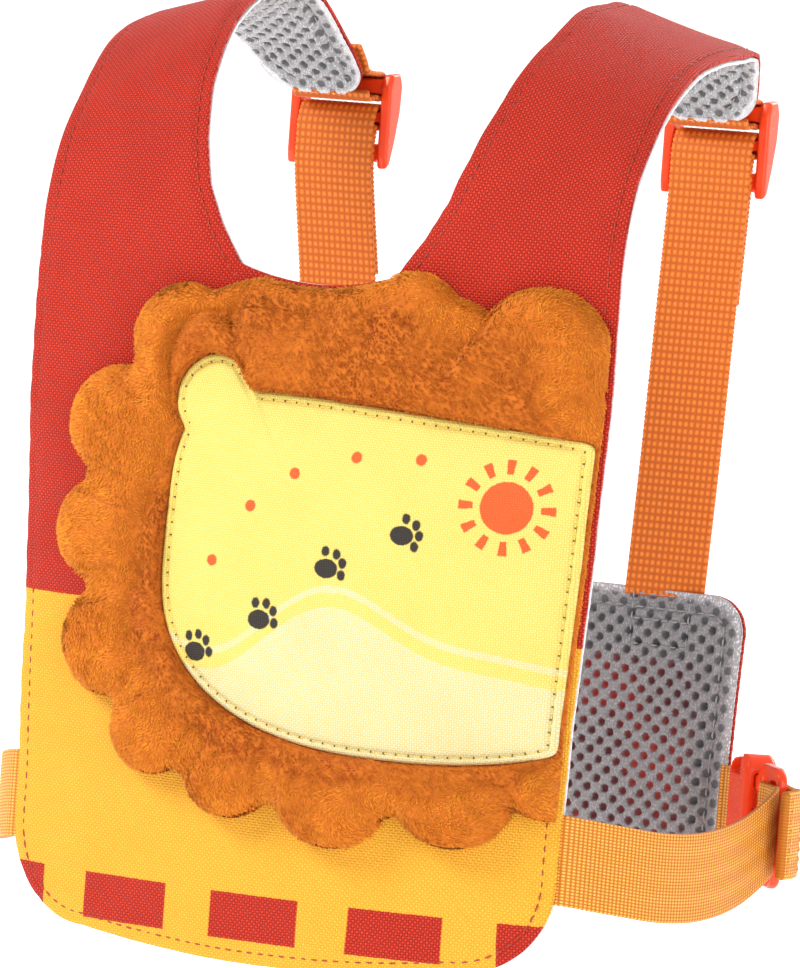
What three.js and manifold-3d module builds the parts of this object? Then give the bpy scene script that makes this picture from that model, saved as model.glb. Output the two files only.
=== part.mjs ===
// Toddler harness backpack, shown as worn: a padded front panel with two wide shoulder straps,
// a plush mane with a padded face patch, a back pad, and 25 mm webbing with plastic hardware.
// Millimetres, +Z up, the front faces -Y, +X is the viewer's right. The origin lies between the
// shoulders, on the level of the straps' undersides at the top of the shoulder.

import * as THREE from "three";
import { mergeVertices } from "three/addons/utils/BufferGeometryUtils.js";
import Module from "manifold-3d";

const wasm = await Module();
wasm.setup();

// Sizes of the body that the cloth lies on
const frontPlane = 68;
const neckDrop = 70;
const ridgeBack = 76;
const rearDrop = 45;
const rearReach = 51;
const panelRise = 194;
const bellyBulge = 14;
const neckBulge = 4;
const shoulderTilt = 17;
const strapCentre = 70;

// Sizes of the front panel and the straps
const panelHalf = 89;
const panelWaist = 84;
const hemCorner = 27;
const hemSag = 4;
const neckHalf = 24;
const neckDip = 4;
const strapEndAngle = 60;
const strapEndCorner = 9;
const strapSplay = { left: 4, right: 0 };
const meshThick = 3.6;
const shellThick = 1.4;
const layerGap = 0.3;
const edgeBand = 4.5;
const shellEdgeDip = 0.8;
const meshEdgeRise = 1.0;

// Sizes of the plush mane and the face patch
const plaqueAcross = 14;
const plaqueUp = 115;
const maneRadius = 77;
const maneThick = 9;
const maneBed = 2.4;
const maneRim = 3;
const creaseDepth = 2.6;
const seamInset = 0.8;
const faceAcross = 40;
const faceUp = 110;
const faceHalf = 75.5;
const faceRise = 47;
const faceDrop = 48.5;
const faceSlant = 0.07;
const earRadius = 12.5;
const faceThick = 1.6;
const facePuff = 2.2;

// Sizes of the webbing and the plastic hardware
const webWidth = 25;
const webThick = 1.5;
const sliderWidth = 33;
const sliderThick = 3;
const railDeep = 9;
const sliderLean = 0;
const sliderPlace = { x: 60.8, y: 63.4, z: -28.5 };
const tailDrop = 46;
const webBelly = 1;
const tabLap = 15;
const tabOut = 1.4;
const padHalfTop = 80.5;
const padHalfBottom = 77;
const padHeight = 97;
const padTop = -160;
const padCorner = 11;
const padMesh = 4;
const padBow = 8;
const padEntry = 53.5;
const rearPlane = 66.8;
const waistLevel = -226;
const waistSag = 5;
const waistLift = 4.5;
const tailLong = 14;
const buckleLong = 46;
const buckleTall = 38;
const buckleThick = 10;
const buckleEnd = { x: 84, y: 58 };
const buckleTurn = 52;
const maleLong = 21;
const frameThick = 3;
const barWide = 3;
const fit = 0.35;

const colours = {
  red: { color: 0xc9301c, roughness: 0.75 },
  mesh: { color: 0x9c9c9e, roughness: 0.8 },
  plush: { color: 0xc4661f, roughness: 0.95 },
  face: { color: 0xf9e27c, roughness: 0.8 },
  webbing: { color: 0xdc7a26, roughness: 0.7 },
  coral: { color: 0xff4b2e, roughness: 0.3 },
};

const radians = (degrees) => (degrees * Math.PI) / 180;
const clamp01 = (x) => Math.min(1, Math.max(0, x));
const smooth = (x, a, b) => {
  const t = clamp01((x - a) / (b - a));
  return t * t * (3 - 2 * t);
};
const mix = (a, b, t) => a + (b - a) * t;

// The way over the shoulder: a straight front, then a front and a rear quarter of an oval
const frontArc = (Math.PI / 2) * Math.sqrt((neckDrop ** 2 + ridgeBack ** 2) / 2);
const rearArc = (Math.PI / 2) * Math.sqrt((rearDrop ** 2 + rearReach ** 2) / 2);
const ridgeWay = panelRise + frontArc;
const strapEnd = ridgeWay + (rearArc * strapEndAngle) / 90;
const strapLong = strapEnd - panelRise;

function way(s) {
  if (s <= panelRise) return { y: -frontPlane, z: s - panelRise - neckDrop, ny: -1, nz: 0 };
  const front = s < ridgeWay;
  const t = (Math.PI / 2) * (front ? (s - panelRise) / frontArc : (s - ridgeWay) / rearArc);
  const sin = Math.sin(t);
  const cos = Math.cos(t);
  const ny = front ? -neckDrop * cos : rearDrop * sin;
  const nz = front ? ridgeBack * sin : rearReach * cos;
  const long = Math.hypot(ny, nz);
  return {
    y: ridgeBack - frontPlane + (front ? -ridgeBack * cos : rearReach * sin),
    z: front ? neckDrop * (sin - 1) : rearDrop * (cos - 1),
    ny: ny / long,
    nz: nz / long,
  };
}

// Place on the worn cloth: a across from the middle, s up from the hem along the cloth, h off the body
function drape(a, s, h) {
  const w = way(s);
  const bulge = mix(bellyBulge, neckBulge, smooth(s, panelRise * 0.55, panelRise));
  const fade = 1 - smooth(s, panelRise, ridgeWay);
  const bow = bulge * fade * (1 - (a / panelHalf) ** 2);
  const tilt = smooth(s, panelRise, ridgeWay) * (1 - smooth(s, ridgeWay, strapEnd - 1.2 * tabLap));
  const slope = Math.tan(radians(shoulderTilt)) * (Math.abs(a) - strapCentre) * tilt;
  const off = bow - slope + h;
  const splay = (a < 0 ? -strapSplay.left : strapSplay.right) * smooth(s, panelRise, strapEnd);
  return new THREE.Vector3(a + splay, w.y + w.ny * off, w.z + w.nz * off);
}

// Strap edges on the way from the neckline to the rear end, as shares of the panel's half width
const strapEdges = [
  { along: 0.0, inner: neckHalf / panelHalf, outer: 1.0 },
  { along: 0.06, inner: 0.35, outer: 1.0 },
  { along: 0.12, inner: 0.41, outer: 0.998 },
  { along: 0.2, inner: 0.455, outer: 0.997 },
  { along: 0.3, inner: 0.5, outer: 0.997 },
  { along: 0.45, inner: 0.54, outer: 1.005 },
  { along: 0.65, inner: 0.55, outer: 1.01 },
  { along: 0.8, inner: 0.53, outer: 0.965 },
  { along: 0.9, inner: 0.515, outer: 0.9 },
  { along: 1.0, inner: 0.505, outer: 0.842 },
];

function strapEdge(s, side) {
  const along = clamp01((s - panelRise) / strapLong);
  let i = 1;
  while (i < strapEdges.length - 1 && strapEdges[i].along < along) i += 1;
  const low = strapEdges[i - 1];
  const high = strapEdges[i];
  return panelHalf * mix(low[side], high[side], (along - low.along) / (high.along - low.along));
}

const halfWidth = (s) => (s >= panelRise
  ? strapEdge(s, "outer")
  : mix(panelWaist, panelHalf, smooth(s, panelRise * 0.2, panelRise * 0.9)));

function hemLine(a) {
  const half = panelWaist - hemCorner;
  const out = Math.max(0, Math.abs(a) - half);
  const corner = hemCorner - Math.sqrt(Math.max(0, hemCorner ** 2 - Math.min(out, hemCorner) ** 2));
  return corner + hemSag * Math.min(1, Math.abs(a) / half) ** 2;
}

const neckLine = (a) => panelRise - neckDip * (1 - Math.min(1, Math.abs(a) / neckHalf) ** 2);

// Distance to the nearest edge of the cloth
function edgeDistance(a, s) {
  const away = [halfWidth(s) - Math.abs(a), strapEnd - s, s - hemLine(a)];
  if (s > panelRise) away.push(Math.abs(a) - strapEdge(s, "inner"));
  if (s <= panelRise && Math.abs(a) < neckHalf) away.push(neckLine(a) - s);
  return Math.min(...away);
}

const edgeFall = (a, s) => 1 - smooth(edgeDistance(a, s), 0, edgeBand);

// Closed sheet from a grid of places, with a lower and an upper surface and a wall along its rim
function sheet(cells, lower, upper) {
  const places = [];
  const keys = new Map();
  const faces = [];
  const edges = new Map();
  const corner = (p) => {
    const key = `${p.a.toFixed(4)},${p.s.toFixed(4)}`;
    if (!keys.has(key)) {
      keys.set(key, places.length);
      places.push(p);
    }
    return keys.get(key);
  };
  for (const quad of cells) {
    const ids = quad.map(corner).filter((id, i, all) => all.indexOf(id) === i);
    if (ids.length < 3) continue;
    for (let i = 1; i < ids.length - 1; i += 1) faces.push([ids[0], ids[i], ids[i + 1]]);
  }
  for (const face of faces) {
    face.forEach((from, i) => {
      const to = face[(i + 1) % 3];
      if (edges.has(`${to}_${from}`)) edges.delete(`${to}_${from}`);
      else edges.set(`${from}_${to}`, [from, to]);
    });
  }
  const points = [...places.map((p) => upper(p)), ...places.map((p) => lower(p))];
  const count = places.length;
  const index = [];
  for (const [i, j, k] of faces) index.push(i, j, k, i + count, k + count, j + count);
  for (const [i, j] of edges.values()) index.push(i, i + count, j + count, i, j + count, j);
  const geometry = new THREE.BufferGeometry();
  geometry.setAttribute("position", new THREE.Float32BufferAttribute(points.flatMap((p) => [p.x, p.y, p.z]), 3));
  geometry.setIndex(index);
  return geometry;
}

// Grid of the front panel and its straps: columns run from the hem to the neckline or a strap's end
const strapColumns = [0, 0.04, 0.12, 0.37, 0.63, 0.92, 1];
const middleColumns = 4;
const panelRows = 16;
const strapRows = 17;

function panelCells() {
  const cells = [];
  const last = strapColumns.length - 1;
  const columns = [];
  strapColumns.forEach((share, i) => columns.push({ side: -1, share, strap: i }));
  for (let i = 1; i < middleColumns; i += 1) columns.push({ side: 0, share: (2 * i) / middleColumns - 1 });
  [...strapColumns].reverse().forEach((share, i) => columns.push({ side: 1, share, strap: last - i }));

  const across = (c, s) => (c.side === 0
    ? c.share * neckHalf
    : c.side * mix(halfWidth(s), s > panelRise ? strapEdge(s, "inner") : neckHalf, c.share));
  const place = (c, s) => ({ a: across(c, s), s });
  const foot = (c) => hemLine(across(c, 0));
  const head = (c) => (c.side === 0 ? neckLine(across(c, panelRise)) : panelRise);
  const rowShare = (i) => (i === 0 ? 0 : mix(edgeBand / panelRise, 1, (i - 1) / (panelRows - 1)));

  for (let j = 0; j < columns.length - 1; j += 1) {
    for (let i = 0; i < panelRows; i += 1) {
      const corners = [[j, i], [j + 1, i], [j + 1, i + 1], [j, i + 1]].map(([column, row]) => {
        const c = columns[column];
        return place(c, mix(foot(c), head(c), rowShare(row)));
      });
      cells.push(corners);
    }
  }
  const topOf = (c) => {
    const wide = strapEdge(strapEnd, "outer") - strapEdge(strapEnd, "inner");
    const near = Math.min(c.share, 1 - c.share) * wide;
    const out = Math.max(0, strapEndCorner - near);
    return strapEnd - strapEndCorner + Math.sqrt(strapEndCorner ** 2 - out ** 2);
  };
  for (let j = 0; j < columns.length - 1; j += 1) {
    if (columns[j].side === 0 || columns[j + 1].side !== columns[j].side) continue;
    for (let i = 0; i < strapRows; i += 1) {
      const corners = [[j, i], [j + 1, i], [j + 1, i + 1], [j, i + 1]].map(([column, row]) => {
        const c = columns[column];
        return place(c, mix(panelRise, topOf(c), row / strapRows));
      });
      cells.push(corners);
    }
  }
  return cells;
}

function frontLining() {
  return sheet(
    panelCells(),
    ({ a, s }) => drape(a, s, meshEdgeRise * edgeFall(a, s)),
    ({ a, s }) => drape(a, s, meshThick - shellEdgeDip * edgeFall(a, s)),
  );
}

const shellBase = meshThick + layerGap;
const shellTop = shellBase + shellThick;

function frontShell() {
  return sheet(
    panelCells(),
    ({ a, s }) => drape(a, s, shellBase - shellEdgeDip * edgeFall(a, s)),
    ({ a, s }) => drape(a, s, shellTop - shellEdgeDip * edgeFall(a, s)),
  );
}

// Lobes round the mane's rim: turn in degrees from the viewer's right, the others as shares of its radius
const maneLobes = [
  { turn: 47, reach: 1.32, wide: 0.25 },
  { turn: 75, reach: 1.08, wide: 0.2 },
  { turn: 132, reach: 1.195, wide: 0.2 },
  { turn: 155, reach: 1.195, wide: 0.2 },
  { turn: 179, reach: 1.125, wide: 0.19 },
  { turn: 204, reach: 1.15, wide: 0.2 },
  { turn: 226, reach: 1.11, wide: 0.17 },
  { turn: 248, reach: 1.03, wide: 0.18 },
  { turn: 276, reach: 1.04, wide: 0.22 },
  { turn: 305, reach: 1.16, wide: 0.22 },
  { turn: 325, reach: 1.32, wide: 0.24 },
];

// Base radius of the mane by turn: a slightly flattened round, as shares of its radius
const maneBase = [
  { turn: 0, reach: 1.3 },
  { turn: 60, reach: 1.06 },
  { turn: 95, reach: 1.02 },
  { turn: 130, reach: 1.1 },
  { turn: 168, reach: 1.03 },
  { turn: 192, reach: 0.99 },
  { turn: 215, reach: 1.02 },
  { turn: 238, reach: 0.975 },
  { turn: 262, reach: 0.91 },
  { turn: 290, reach: 0.955 },
  { turn: 315, reach: 1.15 },
  { turn: 360, reach: 1.3 },
];

function discExit(angle, across, up, radius) {
  const along = across * Math.cos(angle) + up * Math.sin(angle);
  const off = across * Math.sin(angle) - up * Math.cos(angle);
  return Math.abs(off) < radius ? along + Math.sqrt(radius ** 2 - off ** 2) : 0;
}

function lobeReach(angle) {
  const turn = ((angle * 180) / Math.PI + 360) % 360;
  let i = 1;
  while (maneBase[i].turn < turn) i += 1;
  const low = maneBase[i - 1];
  const high = maneBase[i];
  let reach = maneRadius * mix(low.reach, high.reach, (turn - low.turn) / (high.turn - low.turn));
  for (const lobe of maneLobes) {
    const centre = maneRadius * (lobe.reach - lobe.wide);
    const exit = discExit(
      angle,
      centre * Math.cos(radians(lobe.turn)),
      centre * Math.sin(radians(lobe.turn)),
      maneRadius * lobe.wide,
    );
    reach = Math.max(reach, exit);
  }
  return reach;
}

// Furthest reach of a ray from the middle of the plaque that stays inside a shape
function rayReach(angle, inside, most) {
  const step = 0.5;
  let r = step;
  while (r < most && inside(plaqueAcross + r * Math.cos(angle), plaqueUp + r * Math.sin(angle))) r += step;
  let low = r - step;
  let high = Math.min(r, most);
  for (let i = 0; i < 20; i += 1) {
    const mid = (low + high) / 2;
    if (inside(plaqueAcross + mid * Math.cos(angle), plaqueUp + mid * Math.sin(angle))) low = mid;
    else high = mid;
  }
  return low;
}

const maneReach = (angle) => rayReach(angle, (a, s) => edgeDistance(a, s) > seamInset, lobeReach(angle));

// Outline of the face patch: a wide rounded head with an ear at each upper corner
function insideFace(a, s) {
  const x = Math.abs(a - faceAcross) / faceHalf;
  const top = faceRise - faceSlant * (a - faceAcross);
  const y = s > faceUp ? (s - faceUp) / top : (faceUp - s) / faceDrop;
  const square = s > faceUp ? 5.5 : 2.4;
  if (x ** square + y ** square < 1) return true;
  for (const side of [-1, 1]) {
    const earAcross = faceAcross + side * (faceHalf - earRadius * 0.9);
    const earUp = faceUp + faceRise - earRadius * 0.05;
    if (Math.hypot(a - earAcross, s - earUp) < earRadius) return true;
  }
  return false;
}

const faceReach = (angle) => Math.min(
  rayReach(angle, insideFace, 2 * panelHalf),
  maneReach(angle) - seamInset / 2,
);

// Rays from the middle of the plaque stand closer together by the ear
const plaqueTurns = 66;
const turnCrowding = 0.36;
const earTurn = 132;
const faceRings = [0, 0.25, 0.5, 0.75, 1];
const maneRings = [0.12, 0.34, 0.6, 0.85, 1];

function plaqueCells(radiiAt) {
  const cells = [];
  const rays = [];
  for (let i = 0; i < plaqueTurns; i += 1) {
    const even = (2 * Math.PI * i) / plaqueTurns;
    const angle = even - turnCrowding * Math.sin(even - radians(earTurn));
    rays.push(radiiAt(angle).map(({ r, q }) => ({
      a: plaqueAcross + r * Math.cos(angle),
      s: plaqueUp + r * Math.sin(angle),
      r,
      q,
      angle,
    })));
  }
  rays.forEach((ray, i) => {
    const next = rays[(i + 1) % plaqueTurns];
    for (let k = 0; k < ray.length - 1; k += 1) cells.push([ray[k], ray[k + 1], next[k + 1], next[k]]);
  });
  return cells;
}

const faceRadii = (angle) => faceRings.map((q) => ({ r: q * faceReach(angle), q: -1 }));

function maneRadii(angle) {
  const inner = faceReach(angle);
  const outer = maneReach(angle);
  return [...faceRadii(angle), ...maneRings.map((q) => ({ r: mix(inner, outer, q), q }))];
}

// Height of the plush above its bed: it rolls up out of the patch's seam and falls to its own rim
function maneHeight({ q, angle }) {
  if (q < 0) return maneBed;
  const band = maneReach(angle) - faceReach(angle);
  const full = smooth(band, 0, 2 * maneThick);
  const roll = Math.sin(Math.PI * Math.min(1, q) ** 0.8) ** 0.7 || 0;
  const rest = q < 0.5 ? maneBed : maneRim;
  const notch = (lobeReach(angle - 0.12) + lobeReach(angle + 0.12)) / 2 - lobeReach(angle);
  const crease = creaseDepth * clamp01(notch / 2) * smooth(q, 0.3, 0.8) * (q < 1 ? 1 : 0);
  return rest + (maneThick - rest) * clamp01(roll) * full - crease * full;
}

const maneBase0 = shellTop + fit;

function mane() {
  return sheet(
    plaqueCells(maneRadii),
    ({ a, s }) => drape(a, s, maneBase0),
    (p) => drape(p.a, p.s, maneBase0 + maneHeight(p)),
  );
}

function facePatch() {
  const base = maneBase0 + maneBed + layerGap;
  const puff = ({ a, s, r, angle }) => facePuff * (1 - (r / faceReach(angle)) ** 2) ** 0.6 || 0;
  return sheet(
    plaqueCells(faceRadii),
    ({ a, s }) => drape(a, s, base),
    (p) => drape(p.a, p.s, base + faceThick + puff(p)),
  );
}

// Flat band of even thickness along a centre line, with a given direction across it
function ribbon(line, across, wide, thick) {
  const points = [];
  line.forEach((p, i) => {
    const before = line[Math.max(0, i - 1)];
    const after = line[Math.min(line.length - 1, i + 1)];
    const side = (typeof across === "function" ? across(i) : across).clone().normalize();
    const first = p.clone().sub(before);
    const second = after.clone().sub(p);
    const one = first.lengthSq() > 0 ? first.normalize() : second.clone().normalize();
    const two = second.lengthSq() > 0 ? second.normalize() : one;
    const normal = side.clone().cross(one.clone().add(two).normalize()).normalize();
    const flat = side.clone().cross(one).normalize();
    const reach = thick / 2 / Math.max(0.5, normal.dot(flat));
    for (const [x, y] of [[-1, -1], [1, -1], [1, 1], [-1, 1]]) {
      points.push(p.clone().addScaledVector(side, (x * wide) / 2).addScaledVector(normal, y * reach));
    }
  });
  const index = [];
  for (let i = 0; i < line.length - 1; i += 1) {
    for (let k = 0; k < 4; k += 1) {
      const m = (k + 1) % 4;
      const base = 4 * i;
      index.push(base + k, base + m, base + 4 + m, base + k, base + 4 + m, base + 4 + k);
    }
  }
  const end = 4 * (line.length - 1);
  index.push(0, 2, 1, 0, 3, 2, end, end + 1, end + 2, end, end + 2, end + 3);
  const geometry = new THREE.BufferGeometry();
  geometry.setAttribute("position", new THREE.Float32BufferAttribute(points.flatMap((p) => [p.x, p.y, p.z]), 3));
  geometry.setIndex(index);
  return outward(geometry);
}

// The same solid with its faces turned outward
function outward(geometry) {
  const p = geometry.attributes.position;
  const index = [...geometry.index.array];
  let volume = 0;
  const a = new THREE.Vector3();
  const b = new THREE.Vector3();
  const c = new THREE.Vector3();
  for (let i = 0; i < index.length; i += 3) {
    a.fromBufferAttribute(p, index[i]);
    b.fromBufferAttribute(p, index[i + 1]);
    c.fromBufferAttribute(p, index[i + 2]);
    volume += a.dot(b.cross(c));
  }
  if (volume < 0) {
    for (let i = 0; i < index.length; i += 3) [index[i], index[i + 1]] = [index[i + 1], index[i]];
    geometry.setIndex(index);
  }
  return geometry;
}

// Booleans on closed three.js geometries
function solid(geometry) {
  const bare = new THREE.BufferGeometry();
  bare.setAttribute("position", geometry.attributes.position.clone());
  if (geometry.index) bare.setIndex(geometry.index);
  const merged = mergeVertices(bare, 1e-4);
  return new wasm.Manifold(new wasm.Mesh({
    numProp: 3,
    vertProperties: new Float32Array(merged.attributes.position.array),
    triVerts: new Uint32Array(merged.index.array),
  }));
}

function geometryOf(body) {
  const mesh = body.getMesh();
  const geometry = new THREE.BufferGeometry();
  geometry.setAttribute("position", new THREE.BufferAttribute(new Float32Array(mesh.vertProperties), 3));
  geometry.setIndex([...mesh.triVerts]);
  return geometry;
}

const join = (...bodies) => bodies.reduce((all, body) => all.add(body));
const cut = (body, ...tools) => tools.reduce((left, tool) => left.subtract(tool), body);
const block = (x, y, z, at = [0, 0, 0]) => solid(new THREE.BoxGeometry(x, y, z).translate(...at));

function roundedOutline(halfX, low, high, radius) {
  const shape = new THREE.Shape();
  shape.moveTo(-halfX + radius, low);
  shape.lineTo(halfX - radius, low);
  shape.absarc(halfX - radius, low + radius, radius, -Math.PI / 2, 0);
  shape.lineTo(halfX, high - radius);
  shape.absarc(halfX - radius, high - radius, radius, 0, Math.PI / 2);
  shape.lineTo(-halfX + radius, high);
  shape.absarc(-halfX + radius, high - radius, radius, Math.PI / 2, Math.PI);
  shape.lineTo(-halfX, low + radius);
  shape.absarc(-halfX + radius, low + radius, radius, Math.PI, (3 * Math.PI) / 2);
  return shape;
}

// Plate with a rounded outline and rounded rim, lying in X and Z, its thickness along Y
function plate(halfX, low, high, radius, thick, rim) {
  const geometry = new THREE.ExtrudeGeometry(roundedOutline(halfX - rim, low + rim, high - rim, radius - rim), {
    depth: thick - 2 * rim,
    bevelEnabled: true,
    bevelSize: rim,
    bevelThickness: rim,
    bevelSegments: 1,
    curveSegments: 3,
  });
  geometry.translate(0, 0, -(thick - 2 * rim) / 2);
  return solid(geometry.rotateX(Math.PI / 2));
}

// Shoulder slider, in its own axes: X across, Y off the body, Z up along the strap
const slotHalf = webWidth / 2 + 0.7;
const topBar = { low: 8, high: 12.5 };
const middleBar = { low: -0.5, high: 2.5 };
const bottomBar = { low: -12.5, high: -7 };

// Side view of a rail: off the webbing as shares of its depth, up as shares of its height
const railProfile = [
  { off: -0.28, up: 0.12 },
  { off: -0.2, up: 0 },
  { off: 0.08, up: 0.04 },
  { off: 0.4, up: 0.3 },
  { off: 0.66, up: 0.6 },
  { off: 0.72, up: 0.88 },
  { off: 0.5, up: 1 },
  { off: -0.1, up: 0.98 },
  { off: -0.28, up: 0.85 },
];

function slider() {
  const frame = plate(sliderWidth / 2, bottomBar.low, topBar.high, 4, sliderThick, 0.6);
  const upperSlot = block(2 * slotHalf, 3 * sliderThick, topBar.low - middleBar.high, [
    0, 0, (topBar.low + middleBar.high) / 2,
  ]);
  const lowerSlot = block(2 * slotHalf, 3 * sliderThick, middleBar.low - bottomBar.high, [
    0, 0, (middleBar.low + bottomBar.high) / 2,
  ]);
  const rails = [-1, 1].map((side) => {
    const rail = new THREE.Shape();
    railProfile.forEach(({ off, up }, i) => {
      const point = [off * railDeep, mix(bottomBar.low - 2, topBar.high + 2, up)];
      if (i === 0) rail.moveTo(...point);
      else rail.lineTo(...point);
    });
    const wide = sliderWidth / 2 - slotHalf;
    const geometry = new THREE.ExtrudeGeometry(rail, {
      depth: wide - 1.2,
      bevelEnabled: true,
      bevelSize: 0.6,
      bevelThickness: 0.6,
      bevelSegments: 1,
      bevelOffset: -0.6,
    });
    geometry.translate(0, 0, -(wide - 1.2) / 2);
    geometry.applyMatrix4(new THREE.Matrix4().makeBasis(
      new THREE.Vector3(0, 1, 0),
      new THREE.Vector3(0, 0, 1),
      new THREE.Vector3(1, 0, 0),
    ));
    return solid(geometry.translate(side * (sliderWidth / 2 - wide / 2), 0, 0));
  });
  return geometryOf(join(cut(frame, upperSlot, lowerSlot), ...rails));
}

function atSlider(x, off, up) {
  const lean = radians(sliderLean);
  return new THREE.Vector3(
    x,
    sliderPlace.y + off * Math.cos(lean) - up * Math.sin(lean),
    sliderPlace.z + off * Math.sin(lean) + up * Math.cos(lean),
  );
}

function arcPoints(centreOff, centreUp, radius, from, to, steps) {
  const points = [];
  for (let i = 0; i <= steps; i += 1) {
    const t = radians(mix(from, to, i / steps));
    points.push([centreOff + radius * Math.cos(t), centreUp + radius * Math.sin(t)]);
  }
  return points;
}

// Short tab: out of the strap's rear end, under and round the slider's top bar, up onto the strap
function strapTab(side) {
  const x = side * sliderPlace.x;
  const barUp = (topBar.low + topBar.high) / 2;
  const wrap = Math.hypot(sliderThick / 2, (topBar.high - topBar.low) / 2) + fit + webThick / 2;
  const line = [layerGap, tabOut].map((out) => {
    const p = drape(sliderPlace.x, strapEnd + out, shellTop / 2);
    return new THREE.Vector3(x, p.y, p.z);
  });
  const loop = arcPoints(0, barUp, wrap, -120, 105, 8);
  loop.forEach(([off, up]) => line.push(atSlider(x, off, up)));
  for (let i = 0; i <= 3; i += 1) {
    const s = strapEnd - mix(tabLap * 0.4, tabLap, i / 3);
    const p = drape(sliderPlace.x, s, shellTop + fit + webThick / 2);
    line.push(new THREE.Vector3(x, p.y, p.z));
  }
  return ribbon(line, new THREE.Vector3(1, 0, 0), webWidth, webThick);
}

// Rear webbing: from the back pad up to the slider, round its middle bar, and down again as a free tail
function shoulderWebbing(side) {
  const layer = sliderThick / 2 + fit + webThick / 2;
  const under = layer + webThick + layerGap;
  const barUp = (middleBar.low + middleBar.high) / 2;
  const wrap = Math.hypot(sliderThick / 2, (middleBar.high - middleBar.low) / 2) + fit + webThick / 2 + 0.1;
  const drop = sliderPlace.z - padTop;
  const atWeb = (down, off) => new THREE.Vector3(
    side * mix(sliderPlace.x, padEntry, down),
    mix(sliderPlace.y - under, rearPlane, down) + off,
    mix(sliderPlace.z, padTop + layerGap, down),
  );
  const line = [atWeb(1, 0), atWeb(0.7, webBelly), atWeb(0.4, webBelly)];
  const x = side * sliderPlace.x;
  line.push(atSlider(x, -under, bottomBar.low - 1));
  line.push(atSlider(x, -under, bottomBar.high));
  line.push(atSlider(x, -under, middleBar.low - 1));
  arcPoints(0, barUp, wrap, 150, -115, 9).forEach(([off, up]) => line.push(atSlider(x, off, up)));
  line.push(atSlider(x, -layer, bottomBar.high + 1.5));
  line.push(atSlider(x, -layer, bottomBar.low - 0.5));
  const tailEnd = tailDrop / drop;
  line.push(atWeb(tailEnd, webBelly * (tailEnd / 0.4) + webThick + layerGap));
  return ribbon(line, new THREE.Vector3(1, 0, 0), webWidth, webThick);
}

// Back pad, in its own places: a across, s up from its lower edge, h off the back
function padPlace(a, s, h) {
  const half = mix(padHalfBottom, padHalfTop, s / padHeight);
  const inner = rearPlane - (padMesh + layerGap + shellThick) / 2;
  const bow = padBow * ((padEntry / padHalfTop) ** 2 - (a / padHalfTop) ** 2);
  const turn = (2 * padBow * a) / padHalfTop ** 2;
  const flat = 1 / Math.hypot(1, turn);
  return new THREE.Vector3(
    (a * half) / padHalfTop + h * turn * flat,
    inner + bow + h * flat,
    padTop - padHeight + s,
  );
}

const padColumns = [0, 0.015, 0.055, 0.14, 0.3, 0.5, 0.7, 0.86, 0.945, 0.985, 1];
const padRows = [0, 0.05, 0.28, 0.5, 0.72, 0.95, 1];

function padCells() {
  const cells = [];
  const place = (column, row) => {
    const a = mix(-padHalfTop, padHalfTop, padColumns[column]);
    const out = Math.max(0, Math.abs(a) - (padHalfTop - padCorner));
    const round = padCorner - Math.sqrt(Math.max(0, padCorner ** 2 - out ** 2));
    return { a, s: mix(round, padHeight - round, padRows[row]) };
  };
  for (let j = 0; j < padColumns.length - 1; j += 1) {
    for (let i = 0; i < padRows.length - 1; i += 1) {
      cells.push([place(j, i), place(j, i + 1), place(j + 1, i + 1), place(j + 1, i)]);
    }
  }
  return cells;
}

function padFall({ a, s }) {
  const away = Math.min(padHalfTop - Math.abs(a), s, padHeight - s);
  return 1 - smooth(away, 0, edgeBand);
}

const padShellBase = padMesh + layerGap;

const backPadLining = () => outward(sheet(
  padCells(),
  (p) => padPlace(p.a, p.s, meshEdgeRise * padFall(p)),
  (p) => padPlace(p.a, p.s, padMesh - shellEdgeDip * padFall(p)),
));

const backPadShell = () => outward(sheet(
  padCells(),
  (p) => padPlace(p.a, p.s, padShellBase - shellEdgeDip * padFall(p)),
  (p) => padPlace(p.a, p.s, padShellBase + shellThick - shellEdgeDip * padFall(p)),
));

// Side-release buckle, in its own axes: X from the plug's ladder end to the socket's end, Y off the
// body, Z across the webbing
const buckleHalf = buckleTall / 2;
const ladderEnd = { low: 0, high: barWide };
const ladderBar = { low: 8.2, high: 8.2 + barWide };
const socketBar = { low: buckleLong - barWide - 0.4, high: buckleLong };
const armIn = 9;

function bucklePlate(from, to, half, thick, radius, rim) {
  const body = plate(half, from, to, radius, thick, rim);
  return body.rotate([0, 90, 0]);
}

function bucklePlug() {
  const frame = bucklePlate(0, maleLong, buckleHalf - 1.5, frameThick, 5, 0.6);
  const thin = block(ladderBar.low - ladderEnd.high, 4 * frameThick, 2 * slotHalf, [
    (ladderBar.low + ladderEnd.high) / 2, 0, 0,
  ]);
  const second = block(4.6, 4 * frameThick, 2 * slotHalf, [ladderBar.high + 2.3, 0, 0]);
  const arms = [-1, 1].map((side) => block(17, frameThick + 0.6, 4, [maleLong + 6.5, 0, side * (armIn + 2.4)]));
  const ears = [-1, 1].map((side) => block(8, frameThick + 0.6, 5.4, [maleLong + 11, 0, side * (buckleHalf - 3.6)]));
  const guide = block(14, frameThick, 5, [maleLong + 5, 0, 0]);
  return geometryOf(join(cut(frame, thin, second), ...arms, ...ears, guide));
}

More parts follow.
